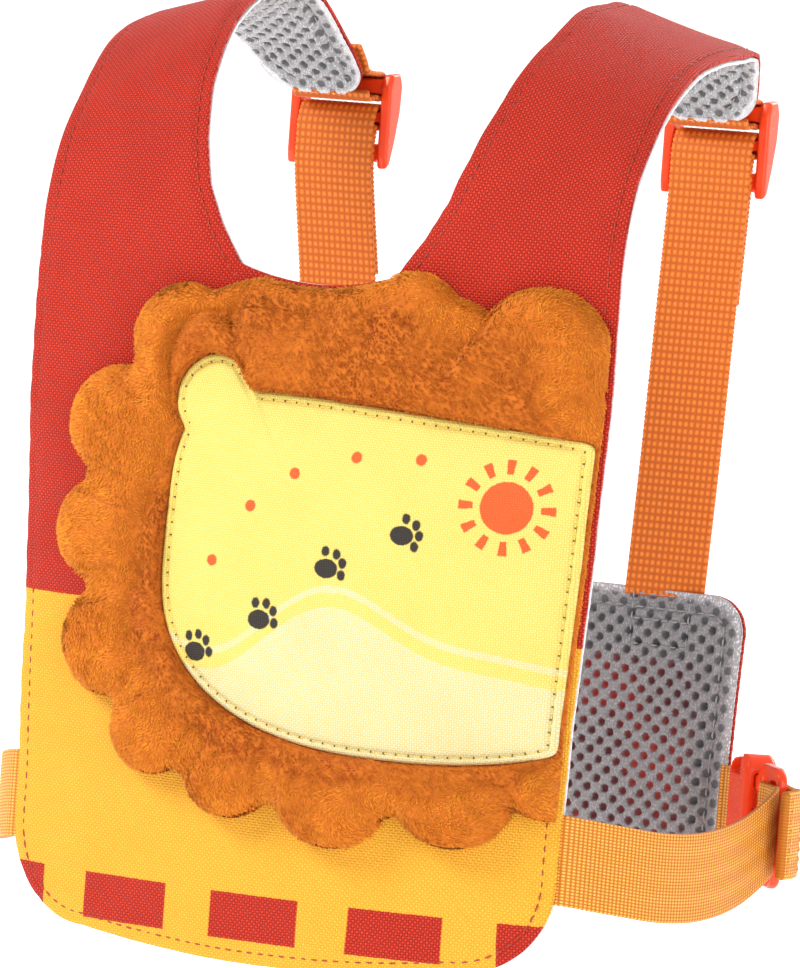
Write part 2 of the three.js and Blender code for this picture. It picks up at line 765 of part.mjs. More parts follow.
function buckleSocket() {
  const from = maleLong + layerGap;
  const body = bucklePlate(from, socketBar.low - 4, buckleHalf, buckleThick, 6, 1.4);
  const bar = bucklePlate(socketBar.low - 12, buckleLong, buckleHalf - 2.5, frameThick, 4, 0.6);
  const slot = block(5, 4 * frameThick, 2 * slotHalf, [socketBar.low - 2.5, 0, 0]);
  const room = block(17.5, frameThick + 0.6 + 2 * fit, 2 * (armIn + 4.4 + fit), [from + 7.75, 0, 0]);
  const windows = [-1, 1].map((side) => block(8 + 2 * fit + 1, buckleThick + 2, 8.4, [
    maleLong + 11, 0, side * (buckleHalf - 2.2),
  ]));
  return geometryOf(cut(join(body, bar), slot, room, ...windows));
}

// Where the buckle lies: its socket end beside the back pad, its plug end forward and outward
const buckleLevel = waistLevel + waistLift;

function atBuckle(side, along, off) {
  const turn = radians(buckleTurn);
  const far = buckleLong - along;
  return new THREE.Vector3(
    side * (buckleEnd.x + far * Math.cos(turn) + off * Math.sin(turn)),
    buckleEnd.y - far * Math.sin(turn) + off * Math.cos(turn),
    buckleLevel,
  );
}

function placeBuckle(geometry, side) {
  const turn = radians(buckleTurn);
  const along = new THREE.Vector3(-side * Math.cos(turn), Math.sin(turn), 0);
  const off = new THREE.Vector3(side * Math.sin(turn), Math.cos(turn), 0);
  const start = atBuckle(side, 0, 0);
  const matrix = new THREE.Matrix4().makeBasis(along, off, new THREE.Vector3(0, 0, 1)).setPosition(start);
  return outward(geometry.clone().applyMatrix4(matrix));
}

// Waist webbing: from the panel's side seam round the waist to the plug, round its ladder bar, and
// back over its end as a short folded tail
const waistRoute = [
  { out: 0.4, back: 0.14, sag: 0.5, lift: 0 },
  { out: 0.68, back: 0.32, sag: 1, lift: 0 },
  { out: 0.85, back: 0.54, sag: 1.1, lift: 0 },
  { out: 0.94, back: 0.8, sag: 0.8, lift: 0.35 },
];

function waistWebbing(side) {
  const layer = frameThick / 2 + fit + webThick / 2;
  const barAt = (ladderBar.low + ladderBar.high) / 2;
  const wrap = Math.hypot(frameThick / 2, barWide / 2) + fit + webThick / 2 + 0.1;
  const seam = panelRise + neckDrop + waistLevel;
  const edge = drape(halfWidth(seam + webWidth / 2) + layerGap + webThick / 2, seam, shellTop / 2);
  const enter = atBuckle(side, -2.5, -layer);
  const line = [new THREE.Vector3(side * edge.x, edge.y, waistLevel)];
  waistRoute.forEach(({ out, back, sag, lift }) => line.push(new THREE.Vector3(
    side * mix(edge.x, Math.abs(enter.x), out),
    mix(edge.y, enter.y, back),
    waistLevel - waistSag * sag + waistLift * lift,
  )));
  const curve = new THREE.CatmullRomCurve3([...line, enter]);
  const smoothLine = curve.getPoints(14);
  const place = ([off, along]) => atBuckle(side, along, off);
  smoothLine.push(place([-layer, 1.5]));
  smoothLine.push(place([-layer, ladderBar.low - 1.5]));
  arcPoints(0, barAt, wrap, 205, 0, 7).forEach(([off, along]) => smoothLine.push(place([off, along])));
  smoothLine.push(place([layer, ladderEnd.high]));
  smoothLine.push(place([layer, ladderEnd.low - 1]));
  return ribbon(smoothLine, new THREE.Vector3(0, 0, 1), webWidth, webThick);
}

// Folded end of the waist webbing, standing off the plug's outer side
const tailRoute = [
  { out: 0.16, forward: 0.28 },
  { out: 0.2, forward: 0.62 },
  { out: 0.17, forward: 1 },
];

function waistTail(side) {
  const layer = frameThick / 2 + fit + webThick / 2;
  const start = atBuckle(side, ladderEnd.low - 1.3, layer + webThick / 2);
  const line = [start, ...tailRoute.map(({ out, forward }) => new THREE.Vector3(
    start.x + side * out * tailLong,
    start.y - forward * tailLong,
    start.z,
  ))];
  return ribbon(line, new THREE.Vector3(0, 0, 1), webWidth, 2 * webThick);
}

// Tab that holds the socket: two layers from the pad's side edge, round the socket's bar
function buckleTab(side) {
  const barAt = (socketBar.low + socketBar.high) / 2;
  const wrap = Math.hypot(frameThick / 2, (socketBar.high - socketBar.low) / 2) + fit + webThick / 2;
  const s = buckleLevel - padTop + padHeight + webWidth / 2;
  const edge = (h) => {
    const p = padPlace(padHalfTop, s, h);
    return new THREE.Vector3(side * (p.x + layerGap + webThick / 2), p.y, buckleLevel);
  };
  const middle = (padShellBase + shellThick) / 2;
  const apart = (webThick + layerGap) / 2;
  const line = [edge(middle - apart)];
  arcPoints(0, barAt, wrap, 150, 390, 8).forEach(([off, along]) => line.push(atBuckle(side, along, off)));
  line.push(edge(middle + apart));
  return ribbon(line, new THREE.Vector3(0, 0, 1), webWidth, webThick);
}

const group = new THREE.Group();

function add(name, geometry, look) {
  const mesh = new THREE.Mesh(geometry, new THREE.MeshStandardMaterial({ ...colours[look], metalness: 0 }));
  mesh.name = name;
  group.add(mesh);
  return mesh;
}

add("front_shell", outward(frontShell()), "red");
add("front_lining", outward(frontLining()), "mesh");
add("mane", outward(mane()), "plush");
add("face_patch", outward(facePatch()), "face");
add("back_pad_shell", backPadShell(), "red");
add("back_pad_lining", backPadLining(), "mesh");

for (const [name, side] of [["left", -1], ["right", 1]]) {
  const slide = add(`shoulder_slider_${name}`, slider(), "coral");
  slide.position.set(side * sliderPlace.x, sliderPlace.y, sliderPlace.z);
  slide.rotation.x = radians(sliderLean);
  add(`strap_tab_${name}`, strapTab(side), "webbing");
  add(`shoulder_webbing_${name}`, shoulderWebbing(side), "webbing");
  add(`waist_webbing_${name}`, waistWebbing(side), "webbing");
  add(`waist_tail_${name}`, waistTail(side), "webbing");
  add(`buckle_plug_${name}`, placeBuckle(bucklePlug(), side), "coral");
  add(`buckle_socket_${name}`, placeBuckle(buckleSocket(), side), "coral");
  add(`buckle_tab_${name}`, buckleTab(side), "webbing");
}

export default group;
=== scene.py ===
import bpy
import numpy as np
from mathutils import Matrix, Vector


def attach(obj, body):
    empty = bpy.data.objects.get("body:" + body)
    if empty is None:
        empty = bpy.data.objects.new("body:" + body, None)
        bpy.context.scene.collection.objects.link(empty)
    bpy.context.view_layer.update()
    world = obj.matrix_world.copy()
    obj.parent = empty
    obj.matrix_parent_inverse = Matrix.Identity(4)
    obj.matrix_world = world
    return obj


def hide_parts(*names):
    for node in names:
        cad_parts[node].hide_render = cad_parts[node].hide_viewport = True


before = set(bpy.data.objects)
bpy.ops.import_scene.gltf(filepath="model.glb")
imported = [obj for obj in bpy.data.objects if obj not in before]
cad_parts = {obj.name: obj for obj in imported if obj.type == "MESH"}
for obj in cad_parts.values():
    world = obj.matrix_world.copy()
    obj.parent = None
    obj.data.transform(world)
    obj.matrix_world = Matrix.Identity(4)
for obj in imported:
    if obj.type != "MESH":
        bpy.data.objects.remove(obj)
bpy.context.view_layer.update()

# Front lining: one sheet of grey spacer mesh under the whole front panel and both shoulder straps,
# cut with them in one piece. Its rim is pressed flat and topstitched all the way round.

# The worn cloth, in millimetres: a runs across from the middle, s up from the hem along the cloth
front_plane = 68.0
neck_drop = 70.0
ridge_back = 76.0
rear_drop = 45.0
rear_reach = 51.0
panel_rise = 194.0
panel_half = 89.0
panel_waist = 84.0
belly_bulge = 14.0
neck_bulge = 4.0
shoulder_slope = np.tan(np.radians(17.0))
strap_centre = 70.0
hem_corner = 27.0
hem_sag = 4.0
neck_half = 24.0
neck_dip = 4.0
strap_end_corner = 9.0
left_splay = 4.0
tab_lap = 15.0
front_arc = np.pi / 2 * np.sqrt((neck_drop**2 + ridge_back**2) / 2)
rear_arc = np.pi / 2 * np.sqrt((rear_drop**2 + rear_reach**2) / 2)
ridge_way = panel_rise + front_arc
strap_end = ridge_way + rear_arc * 60 / 90
strap_long = strap_end - panel_rise
strap_along = [0.0, 0.06, 0.12, 0.2, 0.3, 0.45, 0.65, 0.8, 0.9, 1.0]
strap_inner = [neck_half / panel_half, 0.35, 0.41, 0.455, 0.5, 0.54, 0.55, 0.53, 0.515, 0.505]
strap_outer = [1.0, 1.0, 0.998, 0.997, 0.997, 1.005, 1.01, 0.965, 0.9, 0.842]


def smooth(x, low, high):
    t = np.clip((x - low) / (high - low), 0.0, 1.0)
    return t * t * (3.0 - 2.0 * t)


def mix(a, b, t):
    return a + (b - a) * t


def unit(v):
    return v / np.linalg.norm(v, axis=-1, keepdims=True)


def cloud(x, y, size, seed):
    """Smooth lumps from -1 to 1, of about the given size"""
    table = np.random.default_rng(seed).uniform(-1, 1, (64, 64))
    gx, gy = np.asarray(x) / size, np.asarray(y) / size
    ix, iy = np.floor(gx).astype(int), np.floor(gy).astype(int)
    fx, fy = smooth(gx - ix, 0, 1), smooth(gy - iy, 0, 1)
    low = mix(table[ix % 64, iy % 64], table[(ix + 1) % 64, iy % 64], fx)
    high = mix(table[ix % 64, (iy + 1) % 64], table[(ix + 1) % 64, (iy + 1) % 64], fx)
    return mix(low, high, fy)


def way(s):
    """Side view of the way over the shoulder: place y, z and the direction off the body"""
    front = s < ridge_way
    share = np.where(front, np.maximum(s - panel_rise, 0) / front_arc, (s - ridge_way) / rear_arc)
    sin, cos = np.sin(np.pi / 2 * share), np.cos(np.pi / 2 * share)
    out_y = np.where(front, -neck_drop * cos, rear_drop * sin)
    out_z = np.where(front, ridge_back * sin, rear_reach * cos)
    y = ridge_back - front_plane + np.where(front, -ridge_back * cos, rear_reach * sin)
    z = np.where(front, neck_drop * (sin - 1), rear_drop * (cos - 1)) + np.minimum(s - panel_rise, 0)
    far = np.hypot(out_y, out_z)
    return y, z, out_y / far, out_z / far


def drape(a, s, h):
    """Place on the worn cloth, h off the body, with the light waves of real cloth"""
    a, s, h = np.broadcast_arrays(*(np.asarray(v, float) for v in (a, s, h)))
    y, z, out_y, out_z = way(s)
    bulge = mix(belly_bulge, neck_bulge, smooth(s, 0.55 * panel_rise, panel_rise))
    bow = bulge * (1 - smooth(s, panel_rise, ridge_way)) * (1 - (a / panel_half) ** 2)
    tilt = smooth(s, panel_rise, ridge_way) * (1 - smooth(s, ridge_way, strap_end - 1.2 * tab_lap))
    free = 1 - smooth(s, strap_end - 70, strap_end - 30)
    wave = free * (1.0 * cloud(a, s, 34, 3) + 0.5 * cloud(a, s, 15, 4))
    off = bow - shoulder_slope * (np.abs(a) - strap_centre) * tilt + h + wave
    splay = np.where(a < 0, -left_splay, 0.0) * smooth(s, panel_rise, strap_end)
    return np.stack([a + splay, y + out_y * off, z + out_z * off], -1)


def strap_edge(s, shares):
    return panel_half * np.interp((s - panel_rise) / strap_long, strap_along, shares)


def half_width(s):
    low = mix(panel_waist, panel_half, smooth(s, 0.2 * panel_rise, 0.9 * panel_rise))
    return np.where(s >= panel_rise, strap_edge(s, strap_outer), low)


def hem_line(a):
    half = panel_waist - hem_corner
    out = np.clip(np.abs(a) - half, 0, hem_corner)
    return hem_corner - np.sqrt(hem_corner**2 - out**2) + hem_sag * np.minimum(1, np.abs(a) / half) ** 2


def neck_line(a):
    return panel_rise - neck_dip * (1 - np.minimum(1, np.abs(a) / neck_half) ** 2)


def strap_top(near):
    """Rounded rear end of a strap; near is the distance to the strap's closer edge"""
    out = np.clip(strap_end_corner - near, 0, strap_end_corner)
    return strap_end - strap_end_corner + np.sqrt(strap_end_corner**2 - out**2)


def outline():
    """The cut edge of the panel and straps as one closed line, anticlockwise from the front"""
    turn = np.radians(np.linspace(0, 90, 26))
    half = panel_waist - hem_corner
    hem_a = np.concatenate([np.linspace(0, half, 46)[:-1], half + hem_corner * np.sin(turn)])
    hem_s = np.concatenate([hem_line(hem_a[:45]), hem_sag + hem_corner * (1 - np.cos(turn))])
    side_s = np.linspace(hem_sag + hem_corner, strap_end - strap_end_corner, 260)[1:]
    wide = strap_edge(strap_end, strap_outer) - strap_edge(strap_end, strap_inner)
    across = np.linspace(0, 1, 40)[1:-1]
    end_a = mix(strap_edge(strap_end, strap_outer), strap_edge(strap_end, strap_inner), across)
    end_s = strap_top(np.minimum(across, 1 - across) * wide)
    inner_s = np.linspace(strap_end - strap_end_corner, panel_rise, 160)
    neck_a = np.linspace(neck_half, 0, 24)[1:]
    a = np.concatenate([hem_a, half_width(side_s), end_a, strap_edge(inner_s, strap_inner), neck_a])
    s = np.concatenate([hem_s, side_s, end_s, inner_s, neck_line(neck_a)])
    right = np.column_stack([a, s])
    return np.concatenate([right, right[::-1][1:-1] * [-1, 1]])


def spaced(path, pitch, closed=True):
    """Even places along a line, with the direction at each"""
    ends = np.concatenate([path, path[:1]]) if closed else path
    step = np.linalg.norm(np.diff(ends, axis=0), axis=1)
    along = np.concatenate([[0], np.cumsum(step)])
    count = max(2, int(along[-1] / pitch))
    at = (np.arange(count) + 0.5) / count * along[-1]
    pick = np.clip(np.searchsorted(along, at) - 1, 0, len(step) - 1)
    way_on = (ends[pick + 1] - ends[pick]) / step[pick][:, None]
    return ends[pick] + way_on * (at - along[pick])[:, None], way_on


def nearest(points, path):
    """Distance of each point from a line given by its points, and the closest one's number"""
    far = np.empty(len(points))
    which = np.empty(len(points), int)
    for start in range(0, len(points), 2000):
        part = points[start:start + 2000]
        gap = ((part[:, None, :] - path[None, :, :]) ** 2).sum(-1)
        which[start:start + 2000] = gap.argmin(1)
        far[start:start + 2000] = np.sqrt(gap.min(1))
    return far, which


def inset(path, depth):
    """The line that runs a given depth inside a closed anticlockwise line"""
    way_on = unit(np.roll(path, -1, 0) - np.roll(path, 1, 0))
    moved = path + depth * np.column_stack([-way_on[:, 1], way_on[:, 0]])
    far, _ = nearest(moved, path)
    return moved[far > 0.96 * depth]


def lines(length, step, ends=(1, 1)):
    """Shares of a length for a grid's lines, closer together at the ends asked for"""
    close = np.array([0, 0.25, 0.6, 1.1, 1.8])
    low, high = (2.7 if wanted else 0.0 for wanted in ends)
    middle = np.linspace(low, length - high, max(3, int(round((length - low - high) / step)) + 1))
    parts = [close if ends[0] else [], middle, length - close[::-1] if ends[1] else []]
    return np.concatenate(parts) / length


def cells(ids):
    """The quads of a grid of point numbers"""
    return np.stack([ids[:-1, :-1], ids[:-1, 1:], ids[1:, 1:], ids[1:, :-1]], -1).reshape(-1, 4)


def panel_grid(step):
    """Quads over the front panel and both straps, with the place (a, s) of each corner"""
    share = lines(panel_half - neck_half, step)
    rise = lines(panel_rise, step)
    run = lines(strap_long, step, (0, 1))[1:]
    foot = hem_line(mix(panel_waist, neck_half, share))
    wide = strap_edge(strap_end, strap_outer) - strap_edge(strap_end, strap_inner)
    top = strap_top(np.minimum(share, 1 - share) * wide)
    low = foot + (panel_rise - foot) * rise[:, None]
    s = np.vstack([low, panel_rise + (top - panel_rise) * run[:, None]])
    inner = np.where(s > panel_rise, strap_edge(s, strap_inner), neck_half)
    a = mix(half_width(s), inner, share[None, :])
    middle = np.linspace(-neck_half, neck_half, int(2 * neck_half / step) + 1)
    middle_s = hem_line(middle) + (neck_line(middle) - hem_line(middle)) * rise[:, None]
    count, columns = s.size, s.shape[1]
    left = np.arange(count).reshape(s.shape)
    right = left[:, ::-1] + count
    inner_ids = 2 * count + np.arange(middle_s[:, 1:-1].size).reshape(middle_s[:, 1:-1].shape)
    rows = len(rise)
    centre = np.column_stack([left[:rows, columns - 1], inner_ids, right[:rows, 0]])
    middle_a = np.broadcast_to(middle[1:-1], middle_s[:, 1:-1].shape)
    all_a = np.concatenate([-a.ravel(), a.ravel(), middle_a.ravel()])
    all_s = np.concatenate([s.ravel(), s.ravel(), middle_s[:, 1:-1].ravel()])
    return np.concatenate([cells(ids) for ids in (left, centre, right)]), all_a, all_s


def closed(quads, upper, lower):
    """One closed skin: the grid's outer places, its inner places, and a wall round its rim"""
    count = len(upper)
    sides = np.concatenate([quads[:, [k, (k + 1) % 4]] for k in range(4)])
    ordered = np.sort(sides, axis=1)
    _, first, uses = np.unique(ordered[:, 0] * count + ordered[:, 1], return_index=True, return_counts=True)
    rim = sides[first[uses == 1]]
    wall = np.column_stack([rim[:, 1], rim[:, 0], rim[:, 0] + count, rim[:, 1] + count])
    return np.concatenate([upper, lower]), np.concatenate([quads, quads[:, ::-1] + count, wall])


def sheet(quads, a, s, outer, inner, least, place=drape):
    """The skin of a sheet with its two faces at given heights, and at least so far apart"""
    return closed(quads, place(a, s, outer), place(a, s, np.minimum(inner, outer - least)))


def new_object(name, data):
    made = bpy.data.objects.new(name, data)
    bpy.context.scene.collection.objects.link(made)
    return made


def piece(name, parts, materials, flat=None, shades=None):
    """One object from (points in mm, faces, material number) parts, smooth shaded. The places on the
    flat cloth and the shades are the first part's; the stitches that follow it have none"""
    points, corners, starts, slots = [], [], [], []
    count = used = 0
    for part_points, faces, number in parts:
        points.append(part_points)
        for block in faces if isinstance(faces, list) else [faces]:
            corners.append((block + count).ravel())
            starts.append(used + np.arange(len(block)) * block.shape[1])
            slots.append(np.full(len(block), number))
            used += block.size
        count += len(part_points)
    corners, starts, slots = (np.concatenate(v).astype(np.int32) for v in (corners, starts, slots))
    mesh = bpy.data.meshes.new(name)
    mesh.vertices.add(count)
    mesh.vertices.foreach_set("co", (np.concatenate(points) / 1000).astype(np.float32).ravel())
    mesh.loops.add(len(corners))
    mesh.loops.foreach_set("vertex_index", corners)
    mesh.polygons.add(len(starts))
    mesh.polygons.foreach_set("loop_start", starts)
    mesh.polygons.foreach_set("material_index", slots)
    mesh.polygons.foreach_set("use_smooth", np.ones(len(starts), bool))
    if flat is not None:
        flat = np.concatenate([flat, np.zeros((count - len(flat), 2))])
        layer = mesh.uv_layers.new(name="cloth")
        layer.uv.foreach_set("vector", (flat / 1000)[corners].astype(np.float32).ravel())
    if shades is not None:
        grey = np.concatenate([shades, np.zeros(count - len(shades))])
        colours = np.column_stack([grey, grey, grey, np.ones(count)])
        layer = mesh.color_attributes.new("shade", "FLOAT_COLOR", "POINT")
        layer.data.foreach_set("color", colours.astype(np.float32).ravel())
    mesh.update(calc_edges=True)
    mesh.validate()
    for material in materials:
        mesh.materials.append(material)
    made = new_object(name, mesh)
    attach(made, "root")
    return made


def crossed(one, two):
    out = np.cross(one, two)
    return out / np.maximum(np.linalg.norm(out, axis=-1, keepdims=True), 1e-9)


def stitches(centres, along, off, long, wide, tall):
    """Closed, lens-shaped stitches that lie along a seam and stand off the cloth"""
    side = crossed(along, off)
    rows = []
    for share, size in ((-1, 0.35), (-0.6, 0.9), (0, 1.05), (0.6, 0.9), (1, 0.35)):
        lift = tall * (0.75 - 0.95 * share**2)
        for turn in np.radians(np.arange(6) * 60 + 30):
            rows.append(
                centres + along * (share * long / 2) + off * (lift + size * tall * 0.6 * np.sin(turn))
                + side * (size * wide / 2 * np.cos(turn))
            )
    points = np.stack(rows, 1)
    faces = [
        [low, band + (k + 1) % 6, band + (k + 1) % 6 + 6, low + 6]
        for band in range(0, 24, 6) for k, low in enumerate(range(band, band + 6))
    ]
    caps = [[5, 4, 3, 2, 1, 0], [24, 25, 26, 27, 28, 29]]
    base = (np.arange(len(centres)) * 30)[:, None, None]
    return points.reshape(-1, 3), [
        (np.array(faces)[None] + base).reshape(-1, 4), (np.array(caps)[None] + base).reshape(-1, 6)
    ]


def seam(path, height, stitch, closed_line=True, place=drape):
    """Stitches along a line of (a, s) places, at a height that may be a function of the place; a
    stitch is its pitch, length, width and rise"""
    at, way_on = spaced(path, stitch[0], closed_line)
    high = height(at[:, 0], at[:, 1]) if callable(height) else height
    spot = place(at[:, 0], at[:, 1], high)
    ahead = at + way_on * 0.5
    on = unit(place(ahead[:, 0], ahead[:, 1], high) - spot)
    off = unit(place(at[:, 0], at[:, 1], high + 1.0) - spot)
    return stitches(spot, on, off, *stitch[1:])


edge_line, _ = spaced(outline(), 0.8)
mesh_thick = 3.6
mesh_step = 1.3
layer_gap = 0.3
edge_band = 4.5
rim_press = 0.8
hole_across = 6.2
hole_up = 5.6
hole_radius = 1.2
lining_seam_in = 4.9
lining_stitch = (3.6, 2.6, 0.5, -0.34)


def hole(a, s, size):
    """1 inside the mesh's holes, in two staggered rows, 0 between them"""
    far = np.full(np.broadcast(a, s).shape, 9.0)
    for shift in (0.0, 0.5):
        u = (a / hole_across + shift + 0.5) % 1 - 0.5
        v = (s / hole_up + shift + 0.5) % 1 - 0.5
        far = np.minimum(far, np.hypot(u * hole_across, v * hole_up))
    return 1 - smooth(far, size - 0.45, size + 0.35)


def dip(far, at, wide):
    """1 at the given distance, fading out to both sides"""
    return np.exp(-((far - at) / wide) ** 2)


def rolled(far, radius, depth):
    """How much a face drops where it rolls over at the edge"""
    return depth * (1 - np.sqrt(1 - np.clip(1 - far / radius, 0, 1) ** 2))


def pressed(far):
    """How much thinner the layers are towards the edge, where a seam presses them together"""
    return rim_press * (1 - smooth(far, 0, edge_band))


quads, a, s = panel_grid(mesh_step)
rim_far, _ = nearest(np.column_stack([a, s]), edge_line)
round_off = rolled(rim_far, 1.3, 1.3)
inner_face = 1.5 * (1 - smooth(rim_far, 3.6, 7.5)) + 0.9 * dip(rim_far, lining_seam_in, 0.7) + round_off
inner_face += 1.5 * hole(a, s, 1.25) * mix(0.25, 1, smooth(rim_far, 4.2, 6.4)) + 0.12 * cloud(a, s, 2.1, 8)
outer_face = mesh_thick - pressed(rim_far) - 0.5 * round_off
lining_points, lining_faces = sheet(quads, a, s, outer_face, inner_face, 0.5)
lining_seam = seam(inset(edge_line, lining_seam_in)[::-1], 1.9, lining_stitch)


def new_material(name):
    """A material with its tree and its Principled shader, ready for its own nodes"""
    material = bpy.data.materials.new(name)
    material.use_nodes = True
    return material, material.node_tree, material.node_tree.nodes["Principled BSDF"]


class Field:
    """A value that changes over a surface; arithmetic with it adds Math nodes"""

    def __init__(self, tree, socket):
        self.tree, self.socket = tree, socket

    def __add__(self, other):
        return math("ADD", self, other)

    def __sub__(self, other):
        return math("SUBTRACT", self, other)

    def __rsub__(self, other):
        return math("SUBTRACT", other, self)

    def __mul__(self, other):
        return math("MULTIPLY", self, other)

    def __truediv__(self, other):
        return math("DIVIDE", self, other)


def set_inputs(made, values):
    """Links fields to a node's inputs, and sets the other inputs to plain values"""
    for key, value in values.items():
        if isinstance(value, Field):
            value.tree.links.new(value.socket, made.inputs[key])
        else:
            made.inputs[key].default_value = value


def outputs(tree, made):
    return {key: Field(tree, out) for out in made.outputs for key in (out.name, out.identifier)}


def node(tree, kind, inputs=None, **settings):
    """Adds a node with its settings and inputs, and gives its outputs by name"""
    made = tree.nodes.new(kind)
    for key, value in settings.items():
        setattr(made, key, value)
    set_inputs(made, inputs or {})
    return outputs(tree, made)


def tree_of(*values):
    return next(value.tree for value in values if isinstance(value, Field))


def math(kind, *values, clamp=False):
    made = node(tree_of(*values), "ShaderNodeMath", dict(enumerate(values)), operation=kind, use_clamp=clamp)
    return made["Value"]


def vector(kind, one, two):
    return node(one.tree, "ShaderNodeVectorMath", {0: one, 1: two}, operation=kind)["Vector"]


def axes(place):
    split = node(place.tree, "ShaderNodeSeparateXYZ", {0: place})
    return [split[axis] for axis in "XYZ"]


def radius_at(u, v):
    return math("SQRT", u * u + v * v)


def noise(place, scale, detail=2.0, kind="Fac"):
    return node(place.tree, "ShaderNodeTexNoise", {"Vector": place, "Scale": scale, "Detail": detail})[kind]


def blend(share, one, two, kind="MIX", tree=None):
    """Mixes two colours"""
    tree = tree or tree_of(share, one, two)
    mixed = node(tree, "ShaderNodeMix", {0: share, 6: one, 7: two}, data_type="RGBA", blend_type=kind)
    return mixed["Result_Color"]


def step_mask(value, low, high):
    """0 below low, 1 above high, smooth between"""
    ends = {"Value": value, "From Min": low, "From Max": high}
    return node(value.tree, "ShaderNodeMapRange", ends, interpolation_type="SMOOTHSTEP")["Result"]


def mix_value(share, one, two):
    """Between two numbers by a mask"""
    return node(share.tree, "ShaderNodeMapRange", {"Value": share, "To Min": one, "To Max": two})["Result"]


def bumped(height, strength, distance):
    relief = {"Height": height, "Strength": strength, "Distance": distance}
    return node(height.tree, "ShaderNodeBump", relief)["Normal"]


def flat_place(tree):
    """The place on the flat cloth, in millimetres"""
    return vector("MULTIPLY", node(tree, "ShaderNodeUVMap", uv_map="cloth")["UV"], (1000, 1000, 1000))


def object_place(tree):
    return node(tree, "ShaderNodeTexCoord")["Object"]


def shade_of(tree):
    return node(tree, "ShaderNodeAttribute", attribute_name="shade")["Fac"]


def group_with(name, inputs, results):
    """A shader node group: its tree, its inputs as fields, and the node that takes its results"""
    made = bpy.data.node_groups.new(name, "ShaderNodeTree")
    for label, kind, value in inputs:
        made.interface.new_socket(name=label, in_out="INPUT", socket_type=kind).default_value = value
    for label in results:
        made.interface.new_socket(name=label, in_out="OUTPUT", socket_type="NodeSocketFloat")
    return made, outputs(made, made.nodes.new("NodeGroupInput")), made.nodes.new("NodeGroupOutput")


# Mesh pattern, used by both linings: the hole mask, and the fine knit between the holes
mesh_pattern, given, results = group_with(
    "mesh_pattern",
    [("Place", "NodeSocketVector", (0, 0, 0)), ("Hole", "NodeSocketFloat", hole_radius)],
    ["Holes", "Knit", "Shade"],
)
across, up, _ = axes(given["Place"])
nearby = []
for shift in (0.5, 1.0):
    u = (math("FRACT", across / hole_across + shift) - 0.5) * hole_across
    v = (math("FRACT", up / hole_up + shift) - 0.5) * hole_up
    nearby.append(radius_at(u, v))
far = math("MINIMUM", *nearby) + (noise(given["Place"], 0.9) - 0.5) * 0.9
yarn = vector("MULTIPLY", given["Place"], (1.0, 0.45, 1.0))
loops = node(mesh_pattern, "ShaderNodeTexVoronoi", {"Vector": yarn, "Scale": 2.2, "Randomness": 0.7})
set_inputs(results, {
    "Holes": 1.0 - step_mask(far, given["Hole"] - 0.3, given["Hole"] + 0.25),
    "Knit": loops["Distance"],
    "Shade": noise(given["Place"], 0.11, 4.0),
})


def mesh_material(name, hole_shade_colour, pale, dark, pressed):
    """Grey spacer mesh: pale knitted face, holes dark with painted shade, and a pressed rim where the holes
    close
    """
    material, t, shader = new_material(name)
    pattern = node(
        t, "ShaderNodeGroup", {"Place": flat_place(t), "Hole": hole_radius}, node_tree=mesh_pattern
    )
    knit = step_mask(pattern["Knit"], 0.12, 0.62)
    face = blend(knit, pale, dark)
    face = blend(step_mask(pattern["Shade"], 0.35, 0.7) * 0.3, face, dark)
    rim = shade_of(t)
    face = blend(rim, face, blend(knit, pressed, pale))
    # The holes take their colour in painted shade
    holes = pattern["Holes"] * (1.0 - rim)
    if callable(hole_shade_colour):
        hole_shade_colour = hole_shade_colour(t)
    set_inputs(shader, {
        "Base Color": blend(holes, face, hole_shade_colour),
        "Roughness": mix_value(holes, 0.42, 0.9),
        "Normal": bumped(pattern["Knit"] * -0.35 - holes, 0.8, 0.0005),
        "Sheen Weight": 0.15,
        "Specular IOR Level": 0.6,
    })
    return material


def thread_material(name, dark, light):
    """Polyester sewing thread, twisted, with a slight gloss"""
    material, t, shader = new_material(name)
    twist = noise(object_place(t), 2600.0, 1.0)
    set_inputs(shader, {
        "Base Color": blend(twist, dark, light), "Normal": bumped(twist, 0.4, 0.0002), "Roughness": 0.5,
    })
    return material


# The first colour is the holes' painted shade
grey_mesh = mesh_material(
    "front_mesh", (0.13, 0.12, 0.125, 1), (0.68, 0.68, 0.7, 1), (0.3, 0.3, 0.31, 1), (0.85, 0.85, 0.87, 1)
)
grey_thread = thread_material("grey_thread", (0.18, 0.18, 0.19, 1), (0.42, 0.42, 0.43, 1))


def two_faces(a, s):
    """Places on the flat cloth for both faces of a closed sheet"""
    return np.tile(np.column_stack([a, s]), (2, 1))


def pressed_rim(far, full, none):
    """Shades of a mesh sheet's two faces: 1 at its pressed rim, 0 inside it"""
    return np.tile(1 - smooth(far, full, none), 2)


lining = piece(
    "front_lining_mesh", [(lining_points, lining_faces, 0), (*lining_seam, 1)], [grey_mesh, grey_thread],
    flat=two_faces(a, s), shades=pressed_rim(rim_far, 0.6, 1.8),
)
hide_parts("front_lining")

# Front shell: the red polyester outer layer of the panel and straps, with a printed yellow lower
# block and red blocks along the hem. Its edges are turned under and topstitched to the lining.

shell_base = mesh_thick + layer_gap
cloth_thick = 1.4
cloth_step = 1.75
cloth_roll = (0.8, 0.62)
cloth_stitch = (3.3, 2.5, 0.5, 0.34)
shell_top = shell_base + cloth_thick
seam_in = 3.4


def shell_height(a, s, rim):
    """Height of the red cloth's outer face, which dips at the topstitch and rolls over at the edge"""
    pucker = 0.22 * dip(rim, seam_in, 2.2) * cloud(a, s, 2.6, 12)
    return shell_top - pressed(rim) - 0.55 * dip(rim, seam_in, 0.9) + pucker


